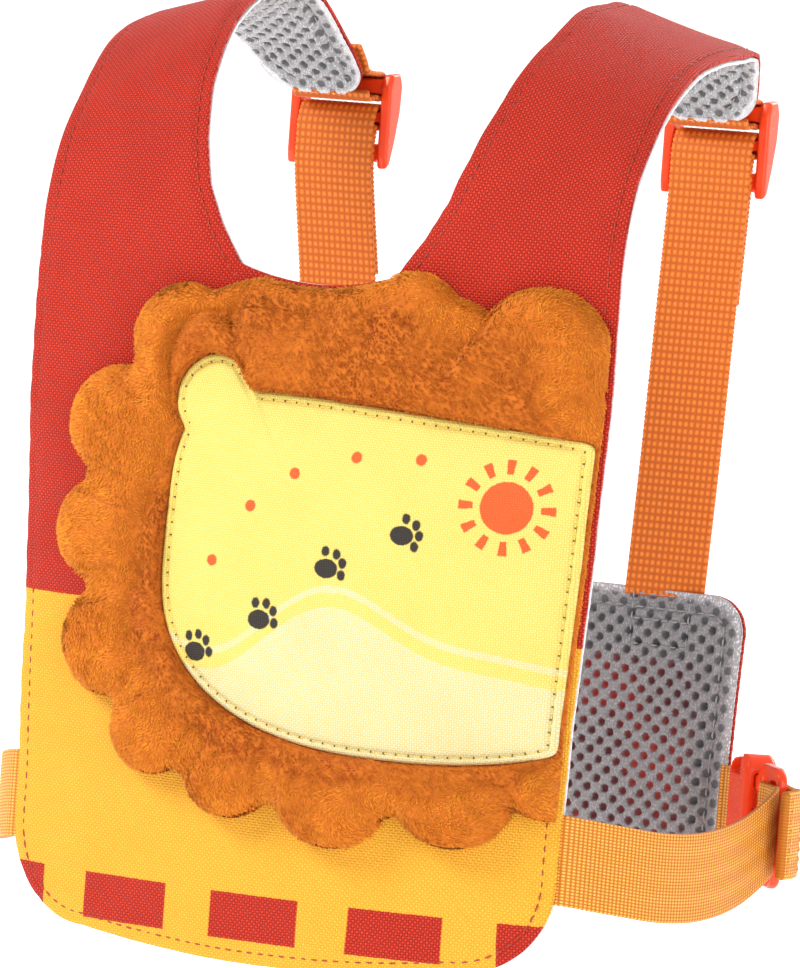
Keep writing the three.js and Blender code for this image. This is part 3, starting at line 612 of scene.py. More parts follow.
quads, a, s = panel_grid(cloth_step)
rim_far, _ = nearest(np.column_stack([a, s]), edge_line)
roll = rolled(rim_far, *cloth_roll)
outer_face = shell_height(a, s, rim_far) - roll
inner_face = shell_base - pressed(rim_far) + roll
shell_points, shell_faces = sheet(quads, a, s, outer_face, inner_face, 0.15)
shell_seam = seam(
    inset(edge_line, seam_in), lambda a, s: shell_height(a, s, seam_in) + 0.05, cloth_stitch
)


def jittered(place, scale):
    """The place, moved a little to and fro, so that what is drawn by it has a natural unevenness"""
    drift = vector("SUBTRACT", noise(place, scale, kind="Color"), (0.5, 0.5, 0.5))
    return vector("ADD", place, vector("MULTIPLY", drift, (0.5, 0.5, 0.0)))


# Woven cloth, used by the shell, the patch and the pad: a plain weave as height and shade
plain_weave, given, results = group_with(
    "plain_weave",
    [("Place", "NodeSocketVector", (0, 0, 0)), ("Pitch", "NodeSocketFloat", 1.0)],
    ["Height", "Gaps", "Tone", "Under"],
)
waves = [math("SINE", axis / given["Pitch"] * np.pi) for axis in axes(jittered(given["Place"], 0.35))[:2]]
warp, weft = (math("ABSOLUTE", wave) for wave in waves)
over = waves[0] * waves[1]
height = math("MAXIMUM", warp * step_mask(over, -0.2, 0.2), weft * step_mask(over, 0.2, -0.2))
set_inputs(results, {
    "Height": height * math("MAXIMUM", warp, weft),
    "Gaps": step_mask(warp * weft, 0.42, 0.05),
    "Under": step_mask(over, 0.25, -0.15),
    "Tone": noise(given["Place"], 0.06, 5.0) * 0.6 + noise(given["Place"], 1.3, 3.0) * 0.4,
})


def woven(shader, place, colour, pitch, dark, strength, under):
    """Joins the weave's height and shade to a cloth's colour; under dulls one of the two yarn sets"""
    weave = node(place.tree, "ShaderNodeGroup", {"Place": place, "Pitch": pitch}, node_tree=plain_weave)
    shaded = blend(1.0, colour, dark, "MULTIPLY", place.tree)
    lit = blend(weave["Gaps"] * 0.9, colour, shaded)
    lit = blend(weave["Under"] * under, lit, shaded)
    set_inputs(shader, {
        "Base Color": blend(step_mask(weave["Tone"], 0.35, 0.65) * 0.2, lit, shaded),
        "Roughness": mix_value(weave["Gaps"], 0.52, 0.85),
        "Normal": bumped(weave["Height"], strength, 0.0004),
        "Specular IOR Level": 0.25,
        "Sheen Weight": 0.03,
        "Sheen Roughness": 0.4,
    })


cloth_red = (0.72, 0.042, 0.012, 1)
red_shade = (0.38, 0.12, 0.2, 1)
red_pitch = 0.74
print_yellow = (0.96, 0.52, 0.045, 1)
yellow_shade = (0.86, 0.66, 0.45, 1)
block_up = 97.0
hem_block = {"pitch": 42.0, "wide": 27.0, "low": 6.5, "high": 19.5}

red_weave, t, shader = new_material("red_weave")
place = flat_place(t)
across, up, _ = axes(place)
level = up + noise(place, 0.8) * 0.5
lower = step_mask(level, block_up + 0.3, block_up - 0.3)
inside = math("ABSOLUTE", math("FRACT", (across + 400.0) / hem_block["pitch"]) - 0.5)
half = hem_block["wide"] / hem_block["pitch"] / 2
blocks = (
    step_mask(inside, half + 0.006, half - 0.006)
    * step_mask(level, hem_block["low"], hem_block["low"] + 0.5)
    * step_mask(level, hem_block["high"] + 0.5, hem_block["high"])
)
printed = math("SUBTRACT", lower, blocks, clamp=True)
shade = blend(printed, red_shade, yellow_shade)
woven(shader, place, blend(printed, cloth_red, print_yellow), red_pitch, shade, 0.8, 0.6)
red_thread = thread_material("red_thread", (0.2, 0.015, 0.008, 1), (0.42, 0.05, 0.02, 1))
shell = piece(
    "front_shell_cloth", [(shell_points, shell_faces, 0), (*shell_seam, 1)], [red_weave, red_thread],
    flat=two_faces(a, s),
)
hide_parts("front_shell")

# Mane: short orange plush on a padded backing, cut in scalloped lobes. It is sewn down round the
# face patch and into the panel's right edge and neckline, so its outer ring puffs up.

plaque_across = 14.0
plaque_up = 115.0
mane_radius = 77.0
mane_low = shell_top + 0.35
mane_bed = 2.4
mane_tall = 9.0
lobe_turn = [47, 75, 132, 155, 179, 204, 226, 248, 276, 305, 325]
lobe_reach = [1.32, 1.08, 1.195, 1.195, 1.125, 1.15, 1.11, 1.03, 1.04, 1.16, 1.32]
lobe_wide = [0.25, 0.2, 0.2, 0.2, 0.19, 0.2, 0.17, 0.18, 0.22, 0.22, 0.24]
base_turn = [0, 60, 95, 130, 168, 192, 215, 238, 262, 290, 315, 360]
base_reach = [1.3, 1.06, 1.02, 1.1, 1.03, 0.99, 1.02, 0.975, 0.91, 0.955, 1.15, 1.3]


def edge_gap(a, s):
    """Rough distance from the panel's nearest cut edge"""
    gap = np.minimum(half_width(s) - np.abs(a), s - hem_line(a))
    neck = np.where(np.abs(a) < neck_half, neck_line(a) - s, 99.0)
    inner = np.abs(a) - strap_edge(s, strap_inner)
    return np.minimum(gap, np.where(s > panel_rise, inner, neck))


def reach_along(turn, inside, most):
    """Furthest place on each ray from the middle of the plaque that is still inside"""
    r = np.arange(0.5, 135, 0.1)
    still = np.logical_and.accumulate(inside(*on_ray(turn[:, None], r)), axis=1)
    return np.minimum(r[still.sum(1) - 1], most)


def lobed(turn):
    """Reach of the scalloped outline"""
    reach = mane_radius * np.interp(np.degrees(turn) % 360, base_turn, base_reach)
    for at, far, wide in zip(lobe_turn, lobe_reach, lobe_wide):
        centre = mane_radius * (far - wide)
        gap = turn - np.radians(at)
        off = centre * np.sin(gap)
        radius = mane_radius * wide
        leaves = centre * np.cos(gap) + np.sqrt(np.maximum(0, radius**2 - off**2))
        reach = np.maximum(reach, np.where((np.abs(off) < radius) & (np.cos(gap) > 0), leaves, 0))
    return reach


face_across = 40.0
face_up = 110.0
face_half = 75.5
face_rise = 47.0
face_drop = 48.5
ear_radius = 12.5


def inside_face(a, s):
    """Inside the patch: a wide rounded shape with an ear at its upper corners"""
    x = np.abs(a - face_across) / face_half
    top = face_rise - 0.07 * (a - face_across)
    above = s > face_up
    y = np.where(above, (s - face_up) / top, (face_up - s) / face_drop)
    square = np.where(above, 5.5, 2.4)
    within = x**square + y**square < 1
    for side in (-1, 1):
        ear_a = face_across + side * (face_half - 0.9 * ear_radius)
        within |= np.hypot(a - ear_a, s - face_up - face_rise + 0.05 * ear_radius) < ear_radius
    return within


def on_ray(turn, r):
    """Places at given distances from the middle of the plaque"""
    return plaque_across + r * np.cos(turn), plaque_up + r * np.sin(turn)


def edges_at(turn):
    """Reach of the mane's outline and of the patch's along each ray"""
    mane_out = reach_along(turn, lambda a, s: edge_gap(a, s) > 0.8, lobed(turn))
    return mane_out, np.minimum(reach_along(turn, inside_face, 999), mane_out - 0.4)


def round_quads(rows, columns, wrap_rows):
    """Quads of a grid that closes on itself, its rows running outward"""
    ids = np.arange(rows * columns).reshape(rows, columns)
    outer = np.roll(ids, -1, 0) if wrap_rows else ids[1:]
    inner = ids if wrap_rows else ids[:-1]
    turned_in, turned_out = np.roll(inner, -1, 1), np.roll(outer, -1, 1)
    return np.stack([inner, outer, turned_out, turned_in], -1).reshape(-1, 4)


turn = np.linspace(0, 2 * np.pi, 481)[:-1]
mane_out, face_out = edges_at(turn)
mane_rows = np.concatenate([[-4.0, -1.5], np.linspace(0, 1, 34) ** 0.92])
r = np.where(
    mane_rows[:, None] < 0, face_out + mane_rows[:, None],
    face_out + (mane_out - face_out) * mane_rows[:, None],
)
a, s = on_ray(turn, r)
flat_places = np.column_stack([a.ravel(), s.ravel()])
rim_far = nearest(flat_places, np.column_stack(on_ray(turn, mane_out)))[0].reshape(a.shape)
face_far = nearest(flat_places, np.column_stack(on_ray(turn, face_out)))[0].reshape(a.shape)
face_far = np.where(mane_rows[:, None] <= 0, 0, face_far)
ring_wide = np.maximum(mane_out - face_out, 0.5)
notch = np.clip(((lobed(turn - 0.12) + lobed(turn + 0.12)) / 2 - lobed(turn)) / 2.2, 0, 1)
puff = np.sqrt(1 - (1 - np.clip(rim_far / 11.5, 0, 1)) ** 2)
puff = puff * np.sqrt(1 - (1 - np.clip((face_far + 0.8) / 10.5, 0, 1)) ** 2) ** 0.8
share = np.clip(mane_rows[:, None], 0, 1)
crease = notch * smooth(share, 0.1, 0.75) * (1 - 0.5 * smooth(share, 0.9, 1.0))
folds = np.clip(cloud(a, s, 15, 21), -1, 1) ** 2 * 1.2 + 0.5 * cloud(a * 1.3, s, 9, 22)
valley_turn = [0, 40, 60, 95, 114, 125, 140, 155, 170, 192, 216, 240, 300, 360]
valley_share = [0.36, 0.4, 0.75, 0.85, 0.85, 0.55, 0.14, 0.1, 0.16, 0.28, 0.33, 0.36, 0.34, 0.36]
valley_depth = [0.2, 0.2, 0.25, 0.4, 0.9, 1, 1, 1, 0.9, 0.8, 0.6, 0.45, 0.3, 0.2]
valley_at = np.interp(np.degrees(turn), valley_turn, valley_share) + 0.05 * cloud(a, s, 26, 25)
valley_deep = np.interp(np.degrees(turn), valley_turn, valley_depth) + 0.2 * cloud(a, s, 26, 26)
fold_line = 4.0 * np.clip(valley_deep, 0, 1) * dip(share, valley_at, 0.13)
full = smooth(ring_wide, 0, 18)
height = mane_bed * np.sqrt(np.clip(rim_far / 2.2, 0, 1)) + 0.5
height = height + (mane_tall - mane_bed + 0.4) * puff * full
height = height - full * puff * (1.9 * crease + folds + fold_line)
height = np.clip(height, 0.5, None)
height = np.where(mane_rows[:, None] <= 0, np.minimum(height, mane_bed - 0.15), height)
mane_top = drape(a, s, mane_low + height)
mane_under = drape(a[[-1, 0]], s[[-1, 0]], mane_low)
mane_grid = np.concatenate([mane_top, mane_under])
mane_quads = round_quads(len(mane_grid), len(turn), True)

# The pile: closed, leaning tufts over the whole plush face, in swirls and clumps
tufts = 43000
hair_lengths = (0.95, 1.5)
root_widths = (0.22, 0.33)
rng = np.random.default_rng(5)
show = slice(1, len(mane_rows))
body, body_a, body_s = mane_top[show], a[show], s[show]
down_row = body[1:] - body[:-1]
round_row = np.roll(body, -1, 1) - body
area = np.linalg.norm(np.cross(down_row, round_row[:-1]), axis=-1)
pick = rng.choice(area.size, tufts, p=(area / area.sum()).ravel())
row, column = np.divmod(pick, area.shape[1])
u, v = rng.random(tufts)[:, None], rng.random(tufts)[:, None]
after = (column + 1) % area.shape[1]


def within_cell(grid):
    low = mix(grid[row, column], grid[row, after], v)
    high = mix(grid[row + 1, column], grid[row + 1, after], v)
    return mix(low, high, u)


spot = within_cell(body)
here = within_cell(np.stack([body_a, body_s], -1))
grid_normal = crossed(round_row[:-1], down_row)
grid_normal = np.concatenate([grid_normal, grid_normal[-1:]])
facing = (grid_normal * [0, -1, 0.2]).sum(-1, keepdims=True)
outward = unit(within_cell(np.where(facing < 0, -grid_normal, grid_normal)))
swirl = 1.9 * cloud(here[:, 0], here[:, 1], 19, 31) + 1.1 * cloud(here[:, 0], here[:, 1], 5.5, 32)
swirl = swirl + 0.8 * cloud(here[:, 0], here[:, 1], 1.9, 33) + rng.normal(0, 0.28, tufts)
away = np.arctan2(here[:, 1] - plaque_up, here[:, 0] - plaque_across)
heading = -np.pi / 2 + 0.35 * np.sin(away + 1.2) + swirl
across_cloth = np.stack([np.cos(heading), np.zeros(tufts), np.sin(heading)], 1)
lean = unit(across_cloth - outward * (across_cloth * outward).sum(1)[:, None])
clump = 0.5 + 0.5 * cloud(here[:, 0], here[:, 1], 2.6, 34)
rise = rng.uniform(0.4, 0.75, tufts) + 0.2 * clump
hair = unit(lean + outward * rise[:, None])
hair_long = rng.uniform(*hair_lengths, tufts) * (0.92 + 0.16 * clump)
tip = spot + hair * hair_long[:, None]
side = crossed(hair, outward)
root_wide = rng.uniform(*root_widths, tufts)[:, None]
root = spot - outward * 0.25
points = np.stack([
    root + side * root_wide, root - side * root_wide + hair * 0.1,
    root + outward * 0.35 + hair * 0.5 + side * rng.normal(0, 0.1, tufts)[:, None], tip,
], 1).reshape(-1, 3)
faces = np.array([[0, 1, 3], [1, 2, 3], [2, 0, 3], [0, 2, 1]])
pile_faces = (faces[None] + (np.arange(tufts) * 4)[:, None, None]).reshape(-1, 3)
from_root = [points[k::4] - points[0::4] for k in (1, 2, 3)]
volume = np.einsum("ij,ij->i", np.cross(from_root[0], from_root[2]), from_root[1])
pile_faces = np.where(np.repeat(volume > 0, 4)[:, None], pile_faces[:, ::-1], pile_faces)
# Painted shade: the pile is darker in the ring's inner zone, where it slopes away from the light
inner = within_cell((1 - smooth(share - valley_at, -0.1, 0.14))[show][..., None])[:, 0]
tone_and_painted_shade = 0.66 + 0.16 * cloud(here[:, 0], here[:, 1], 14, 35) + 0.16 * (clump - 0.5) - 0.36 * inner
tone_and_painted_shade = np.clip(tone_and_painted_shade + rng.normal(0, 0.08, tufts), 0, 1)
# Along each tuft: painted shade at the root, a painted highlight at the tip
tone_and_painted_shade = np.stack([tone_and_painted_shade * 0.5, tone_and_painted_shade * 0.5, tone_and_painted_shade * 0.85, np.minimum(tone_and_painted_shade * 1.25, 1)], 1).ravel()
bend = np.stack([outward, outward, outward + 0.25 * hair, outward * 0.75 + 0.5 * hair + side * 0.1], 1)
bend = unit(bend.reshape(-1, 3))


def plush_material(name, dark, light):
    """Short polyester plush: painted shade between the hairs, a painted highlight at the pale tips"""
    material, t, shader = new_material(name)
    soft = noise(object_place(t), 420.0, 3.0)
    share = math("ADD", shade_of(t), (soft - 0.5) * 0.3, clamp=True)
    set_inputs(shader, {
        "Base Color": blend(share, dark, light),
        "Normal": bumped(soft, 0.25, 0.0004),
        "Roughness": 0.75,
        "Specular IOR Level": 0.2,
        "Sheen Weight": 0.25,
        "Sheen Roughness": 0.35,
        "Sheen Tint": (1.0, 0.5, 0.15, 1),
    })
    return material


# The dark colour is the plush in painted shade, the light one its lit tips
orange_plush = plush_material("orange_plush", (0.3, 0.036, 0.002, 1), (1.0, 0.33, 0.022, 1))
# The backing shows between the tufts in painted shade
mane_body = piece(
    "mane_backing", [(mane_grid.reshape(-1, 3), mane_quads, 0)], [orange_plush],
    shades=np.full(mane_grid.size // 3, 0.3),
)
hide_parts("mane")
pile = piece("mane_pile", [(points, pile_faces, 0)], [orange_plush], shades=tone_and_painted_shade)
pile.data.normals_split_custom_set_from_vertices(bend.tolist())

# Face patch: a padded patch of pale yellow woven cloth with an ear at its upper left, printed with
# a plain landscape of the maker's own. It is stitched through the plush close inside its edge.

patch_low = mane_low + mane_bed + layer_gap
patch_thick = 1.6
patch_puff = 2.2
patch_seam = 2.2
patch_stitch = (3.5, 2.7, 0.4, 0.25)
needle_hole = (3.5, 0.75, 0.6, 0.25)
turn = np.linspace(0, 2 * np.pi, 721)[:-1]
turn = turn - 0.36 * np.sin(turn - np.radians(132.0))
mane_out, face_out = edges_at(turn)
kernel = np.exp(-(np.arange(-4, 5) / 2.0) ** 2)
kernel /= kernel.sum()
face_out = np.convolve(np.concatenate([face_out[-4:], face_out, face_out[:4]]), kernel, "valid")
face_rim = np.column_stack(on_ray(turn, face_out))
rim_rows = [9.5, 7.5, 6, 5, 4.2, 3.6, 3.1, 2.7, 2.4, 2.1, 1.8, 1.5, 1.2, 0.9, 0.6, 0.35, 0.15, 0]
patch_rows = np.concatenate([np.linspace(0.04, 0.8, 16), 1 - np.array(rim_rows) / 70])
r = face_out * patch_rows[:, None]
a, s = on_ray(turn, r)
rim_far = nearest(np.column_stack([a.ravel(), s.ravel()]), face_rim)[0].reshape(a.shape)


def patch_height(a, s, rim, share):
    """Height of the patch: full in the middle, drawn down along the stitching, rolled at the edge"""
    full = patch_puff * np.clip(1 - share**2, 0, 1) ** 0.6 + 0.5 * smooth(rim, 2.5, 12)
    gather = 0.18 * dip(rim, patch_seam, 2.5) * cloud(a, s, 2.4, 42)
    soft = 0.35 * cloud(a, s, 17, 41) * smooth(rim, 2, 10)
    return patch_thick + full - 0.75 * dip(rim, patch_seam, 0.6) + gather + soft


height = patch_height(a, s, rim_far, patch_rows[:, None]) - rolled(rim_far, 1.1, 0.8)
top = drape(a, s, patch_low + np.maximum(height, 0.35)).reshape(-1, 3)
under = drape(a[-1], s[-1], patch_low)
middle = drape(plaque_across, plaque_up, patch_low + patch_height(plaque_across, plaque_up, 50.0, 0.0))[None]
count = len(turn)
patch_points = np.concatenate([top, under, middle, drape(plaque_across, plaque_up, patch_low)[None]])
last = len(top) + count
ring = np.arange(count)
after = (ring + 1) % count
patch_faces = [
    round_quads(len(patch_rows) + 1, count, False),
    np.concatenate([
        np.column_stack([np.full(count, last), ring, after]),
        np.column_stack([np.full(count, last + 1), len(top) + after, len(top) + ring]),
    ]),
]
patch_flat = np.concatenate([
    np.column_stack([a.ravel(), s.ravel()]), np.column_stack([a[-1], s[-1]]),
    [[plaque_across, plaque_up]] * 2,
])
patch_line = inset(spaced(face_rim, 0.7)[0], patch_seam)
patch_stitches = seam(patch_line, patch_low + patch_thick - 0.2, patch_stitch)
# Needle holes: small dark marks beside the stitches, painted shade in the holes
needle_holes = seam(np.roll(patch_line, -5, 0), patch_low + patch_thick - 0.1, needle_hole)


def spot_mask(place, across, up, wide, tall, soft=0.25):
    """1 inside a printed oval"""
    far = radius_at((place[0] - across) / wide, (place[1] - up) / tall)
    return step_mask(far, 1 + soft / wide, 1 - soft / wide)


def any_of(masks):
    share = masks[0]
    for mask in masks[1:]:
        share = math("MAXIMUM", share, mask)
    return share


def paw(place, across, up, lean):
    """A paw print: one broad pad and four toes"""
    masks = [spot_mask(place, across, up, 3.4, 2.7)]
    for out, rise in ((-4.0, 2.6), (-1.5, 4.8), (1.5, 4.8), (4.0, 2.6)):
        x = out * np.cos(lean) - rise * np.sin(lean)
        y = out * np.sin(lean) + rise * np.cos(lean)
        masks.append(spot_mask(place, across + float(x), up + float(y), 1.2, 1.5))
    return any_of(masks)


hill_cream = (0.73, 0.685, 0.42, 1)
pale_yellow = (0.79, 0.67, 0.2, 1)
terracotta = (0.78, 0.12, 0.03, 1)
print_black = (0.035, 0.03, 0.028, 1)
dots_at = ((-18, 112), (-8, 128), (4, 138), (22, 144), (41, 145))
paws_at = ((-22, 86, -0.5), (-2, 97, -0.7), (17, 113, -0.9), (38, 124, -1.2))
sun_at = (66.0, 134.0)


def face_print(flat):
    """Printed landscape: cream hills, a terracotta sun with rays, a trail of paw prints, small dots"""
    place = axes(jittered(flat, 1.1))
    crest = math("SINE", place[0] * 0.062) * 8.5 + math("SINE", place[0] * 0.11) * 3.0
    over = place[1] - (crest + 92.0)
    second = over - 6.0
    strip = step_mask(second, 0.2, -0.2) * step_mask(second, -2.2, -1.8)
    colour = blend(math("MAXIMUM", step_mask(over, 0.2, -0.2), strip), pale_yellow, hill_cream)
    x, y = place[0] - sun_at[0], place[1] - sun_at[1]
    far = radius_at(x, y)
    beam = step_mask(math("COSINE", math("ARCTAN2", y, x) * 12.0), 0.25, 0.55)
    rays = beam * step_mask(far, 9.0, 9.4) * step_mask(far, 13.4, 13.0)
    red = [rays, step_mask(far, 7.4, 7.0)] + [spot_mask(place, *at, 1.6, 1.6) for at in dots_at]
    colour = blend(any_of(red), colour, terracotta)
    return blend(any_of([paw(place, *at) for at in paws_at]), colour, print_black)


yellow_weave, t, shader = new_material("yellow_weave")
place = flat_place(t)
woven(shader, place, face_print(place), 0.66, (0.82, 0.68, 0.36, 1), 0.45, 0.3)
pale_thread = thread_material("pale_thread", (0.7, 0.45, 0.06, 1), (0.95, 0.75, 0.16, 1))
# The needle holes' colour is painted shade
needle_hole_shade = thread_material("needle_hole_shade", (0.06, 0.025, 0.008, 1), (0.14, 0.06, 0.015, 1))
patch = piece(
    "face_patch_cloth", [(patch_points, patch_faces, 0), (*patch_stitches, 1), (*needle_holes, 2)],
    [yellow_weave, pale_thread, needle_hole_shade], flat=patch_flat,
)
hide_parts("face_patch")

# Back pad: red cloth outside, grey spacer mesh inside, in one padded rectangle with round corners.
# Its rim is pressed and topstitched, and the webbing's box stitching shows through the mesh.

pad_half_top = 80.5
pad_half_bottom = 77.0
pad_height = 97.0
pad_top = -160.0
pad_corner = 11.0
pad_mesh = 4.0
pad_mesh_step = 0.8
pad_cloth_step = 1.7
pad_bow = 8.0
pad_entry = 53.5
rear_plane = 66.8
pad_shell_base = pad_mesh + layer_gap
pad_seam_in = 5.6
shell_seam_in = 4.2
box_half = 9.5
box_low = 1.5
box_high = 16.5


def pad_place(a, s, h):
    """Place on the back pad: a across, s up from its lower edge, h off the back"""
    half = mix(pad_half_bottom, pad_half_top, s / pad_height)
    bow = pad_bow * ((pad_entry / pad_half_top) ** 2 - (a / pad_half_top) ** 2)
    turned = 2 * pad_bow * a / pad_half_top**2
    level = 1 / np.hypot(1, turned)
    wave = 0.5 * cloud(a, s, 30, 61)
    inner = rear_plane - (pad_shell_base + cloth_thick) / 2
    x = a * half / pad_half_top + h * turned * level
    return np.stack(np.broadcast_arrays(x, inner + bow + wave + h * level, pad_top - pad_height + s), -1)


def pad_grid(step):
    """Quads over the pad, which face away from the panel, with the place (a, s) of each corner"""
    across = mix(-pad_half_top, pad_half_top, lines(2 * pad_half_top, step))
    out = np.clip(np.abs(across) - (pad_half_top - pad_corner), 0, pad_corner)
    rounding = pad_corner - np.sqrt(pad_corner**2 - out**2)
    s = mix(rounding, pad_height - rounding, lines(pad_height, step)[:, None])
    a = np.broadcast_to(across, s.shape)
    ids = np.arange(s.size).reshape(s.shape)
    return cells(ids)[:, ::-1], a.ravel(), s.ravel()


corner_turn = np.radians(np.linspace(0, 90, 14))
corner_a = pad_half_top - pad_corner + pad_corner * np.cos(corner_turn)
corner_s = pad_height - pad_corner + pad_corner * np.sin(corner_turn)
quarter = np.column_stack([corner_a, corner_s - pad_height / 2])
half_rim = np.concatenate([quarter, quarter[::-1] * [-1, 1]])
pad_rim = np.concatenate([half_rim, -half_rim]) + [0, pad_height / 2]
pad_rim = spaced(pad_rim, 0.8)[0]


def box_gap(a, s):
    """Distance outside the box where the webbing is sewn into the pad, less than 0 inside it"""
    down = pad_height - s - (box_low + box_high) / 2
    return np.maximum(np.abs(np.abs(a) - pad_entry) - box_half, np.abs(down) - (box_high - box_low) / 2)


def sewn_box(side, low, high):
    """Corners of the box stitching on one side of the pad"""
    corners = np.array([[-box_half, low], [box_half, low], [box_half, high], [-box_half, high]])
    return corners + [side * pad_entry, pad_height]


quads, a, s = pad_grid(pad_mesh_step)
rim_far, _ = nearest(np.column_stack([a, s]), pad_rim)
round_off = rolled(rim_far, 1.2, 1.2)
channel = 1.0 * dip(rim_far, pad_seam_in, 0.75) + 0.7 * dip(rim_far, 8.6, 0.9)
boxed = dip(box_gap(a, s), 0, 0.7) + 0.5 * smooth(box_gap(a, s), 1.0, -1.5)
inner_face = 1.7 * (1 - smooth(rim_far, 3.6, 8.5)) + channel + round_off + boxed
inner_face += 1.7 * hole(a, s, 1.3) * mix(0.35, 1, smooth(rim_far, 5.6, 8.0)) + 0.12 * cloud(a, s, 2.1, 62)
outer_face = pad_mesh - pressed(rim_far) - 0.5 * round_off
pad_points, pad_faces = sheet(quads, a, s, outer_face, inner_face, 0.5, pad_place)
pad_seams = [seam(inset(pad_rim, pad_seam_in)[::-1], 1.75, (3.4, 2.5, 0.5, -0.4), place=pad_place)]
for side in (-1, 1):
    box = sewn_box(side, -box_high, -box_low)
    for line, whole in ((box, True), (box[:2] + [0, 7.5], False)):
        pad_seams.append(seam(line, 1.0, (3.1, 2.3, 0.5, -0.4), whole, pad_place))


def pad_hole_shade(t):
    """Colour in the pad's holes, in painted shade: red cloth behind the middle, grey foam near the rim and
    webbing
    """
    place = flat_place(t)
    across, up, _ = axes(place)
    middle = step_mask(math("ABSOLUTE", across), 71.0, 63.0) * step_mask(up, 79.0, 73.0)
    patchy = step_mask(noise(place, 0.035), 0.42, 0.6)
    return blend(middle, (0.1, 0.095, 0.1, 1), blend(patchy, (0.13, 0.028, 0.03, 1), (0.36, 0.04, 0.035, 1)))


# Painted shade: the pad's knit colours are darker than the same mesh on the front, for the shade the pad's
# middle lies in; its pressed rim stays pale
pad_mesh_in_painted_shade = mesh_material(
    "pad_mesh", pad_hole_shade, (0.36, 0.33, 0.34, 1), (0.19, 0.175, 0.18, 1), (0.8, 0.82, 0.85, 1)
)
pad_lining = piece(
    "back_pad_mesh", [(pad_points, pad_faces, 0)] + [(*line, 1) for line in pad_seams],
    [pad_mesh_in_painted_shade, grey_thread], flat=two_faces(a, s), shades=pressed_rim(rim_far, 0.8, 3.2),
)
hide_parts("back_pad_lining")


def pad_shell_height(a, s, rim):
    """Height of the pad's red face: drawn down at its topstitch, rolled over at the edge"""
    puffed = 0.8 * smooth(rim, 4.5, 16) + 0.3 * cloud(a, s, 14, 63) - pressed(rim)
    seam_dip, box_dip = 0.6 * dip(rim, shell_seam_in, 1.0), 0.45 * dip(box_gap(a, s), 0, 1.1)
    return pad_shell_base + cloth_thick + puffed - seam_dip - box_dip


def on_pad(a, s):
    return pad_shell_height(a, s, nearest(np.column_stack([a, s]), pad_rim)[0]) + 0.1


def box_stitch(corners, height, stitch, place):
    """A box stitch: its outline and its two diagonals"""
    return [
        seam(line, height, stitch, whole, place)
        for line, whole in ((corners, True), (corners[[0, 2]], False), (corners[[1, 3]], False))
    ]


quads, a, s = pad_grid(pad_cloth_step)
rim_far, _ = nearest(np.column_stack([a, s]), pad_rim)
roll = rolled(rim_far, *cloth_roll)
outer_face = pad_shell_height(a, s, rim_far) - roll
inner_face = pad_shell_base - pressed(rim_far) + roll
pad_points, pad_faces = sheet(quads, a, s, outer_face, inner_face, 0.15, pad_place)
pad_seams = [seam(inset(pad_rim, shell_seam_in), on_pad, cloth_stitch, place=pad_place)]
for side in (-1, 1):
    pad_seams += box_stitch(sewn_box(side, -box_high, -box_low), on_pad, (3.0, 2.3, 0.5, 0.34), pad_place)
plain_red, t, shader = new_material("plain_red_weave")
woven(shader, flat_place(t), cloth_red, red_pitch, red_shade, 0.8, 0.6)
pad_shell = piece(
    "back_pad_cloth", [(pad_points, pad_faces, 0)] + [(*line, 1) for line in pad_seams],
    [plain_red, red_thread], flat=two_faces(a, s),
)
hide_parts("back_pad_shell")

# Shoulder sliders: glossy coral ladder sliders, moulded in one piece, with three bars for the
# webbing and a deep rounded rail at each side.

slider_at = np.array([60.8, 63.4, -28.5])
slider_thick = 3.0
fit = 0.35
top_bar = (8.0, 12.5)
middle_bar = (-0.5, 2.5)
bottom_bar = (-12.5, -7.0)


def coral_material(name):
    """Coral acetal: glossy and slightly translucent, with faint moulding marks and handling scuffs"""
    material, t, shader = new_material(name)
    place = object_place(t)
    cloudy = noise(place, 90.0, 3.0)
    set_inputs(shader, {
        "Base Color": blend(cloudy, (0.93, 0.045, 0.006, 1), (0.98, 0.085, 0.016, 1)),
        "Roughness": mix_value(noise(place, 900.0), 0.18, 0.32),
        "Normal": bumped(cloudy, 0.08, 0.0003),
        "Subsurface Weight": 0.25,
        "Subsurface Radius": (0.004, 0.0015, 0.001),
        "Subsurface Scale": 0.5,
        "Specular IOR Level": 0.35,
        "Coat Weight": 0.1,
    })
    return material


coral_plastic = coral_material("coral_plastic")


def moulded(name, source, voxel, keep):
    """The solid's own shape with the soft edges and skin of a moulded part"""
    made = new_object(name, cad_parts[source].data.copy())
    remesh = made.modifiers.new("skin", "REMESH")
    remesh.mode = "VOXEL"
    remesh.voxel_size = voxel
    soften = made.modifiers.new("soften", "SMOOTH")
    soften.factor = 0.6
    soften.iterations = 5
    thin_out = made.modifiers.new("thin_out", "DECIMATE")
    thin_out.ratio = keep
    graph = bpy.context.evaluated_depsgraph_get()
    mesh = bpy.data.meshes.new_from_object(made.evaluated_get(graph))
    made.modifiers.clear()
    made.data = mesh
    mesh.materials.clear()
    mesh.materials.append(coral_plastic)
    mesh.polygons.foreach_set("use_smooth", np.ones(len(mesh.polygons), bool))
    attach(made, "root")
    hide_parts(source)
    return made


for side in ("left", "right"):
    moulded(f"slider_moulded_{side}", f"shoulder_slider_{side}", 0.00035, 0.32)

# Strap tabs: a short length of webbing from each strap's rear end round the slider's top bar and
# back onto the strap, where it is sewn down.

web_wide = 25.0
web_thick = 1.5
web_step = 0.675
selvedge_pitch = 1.35
coarse_pitch = (1.85, 2.2)
fine_pitch = (0.9, 1.35)
tab_box = 9.8
tab_box_from_end = (9.5, 1.8)


def arc(up, radius, start, end, count):
    """Points (off, up) round a bar"""
    turned = np.radians(np.linspace(start, end, count))
    return np.column_stack([radius * np.cos(turned), up + radius * np.sin(turned)])


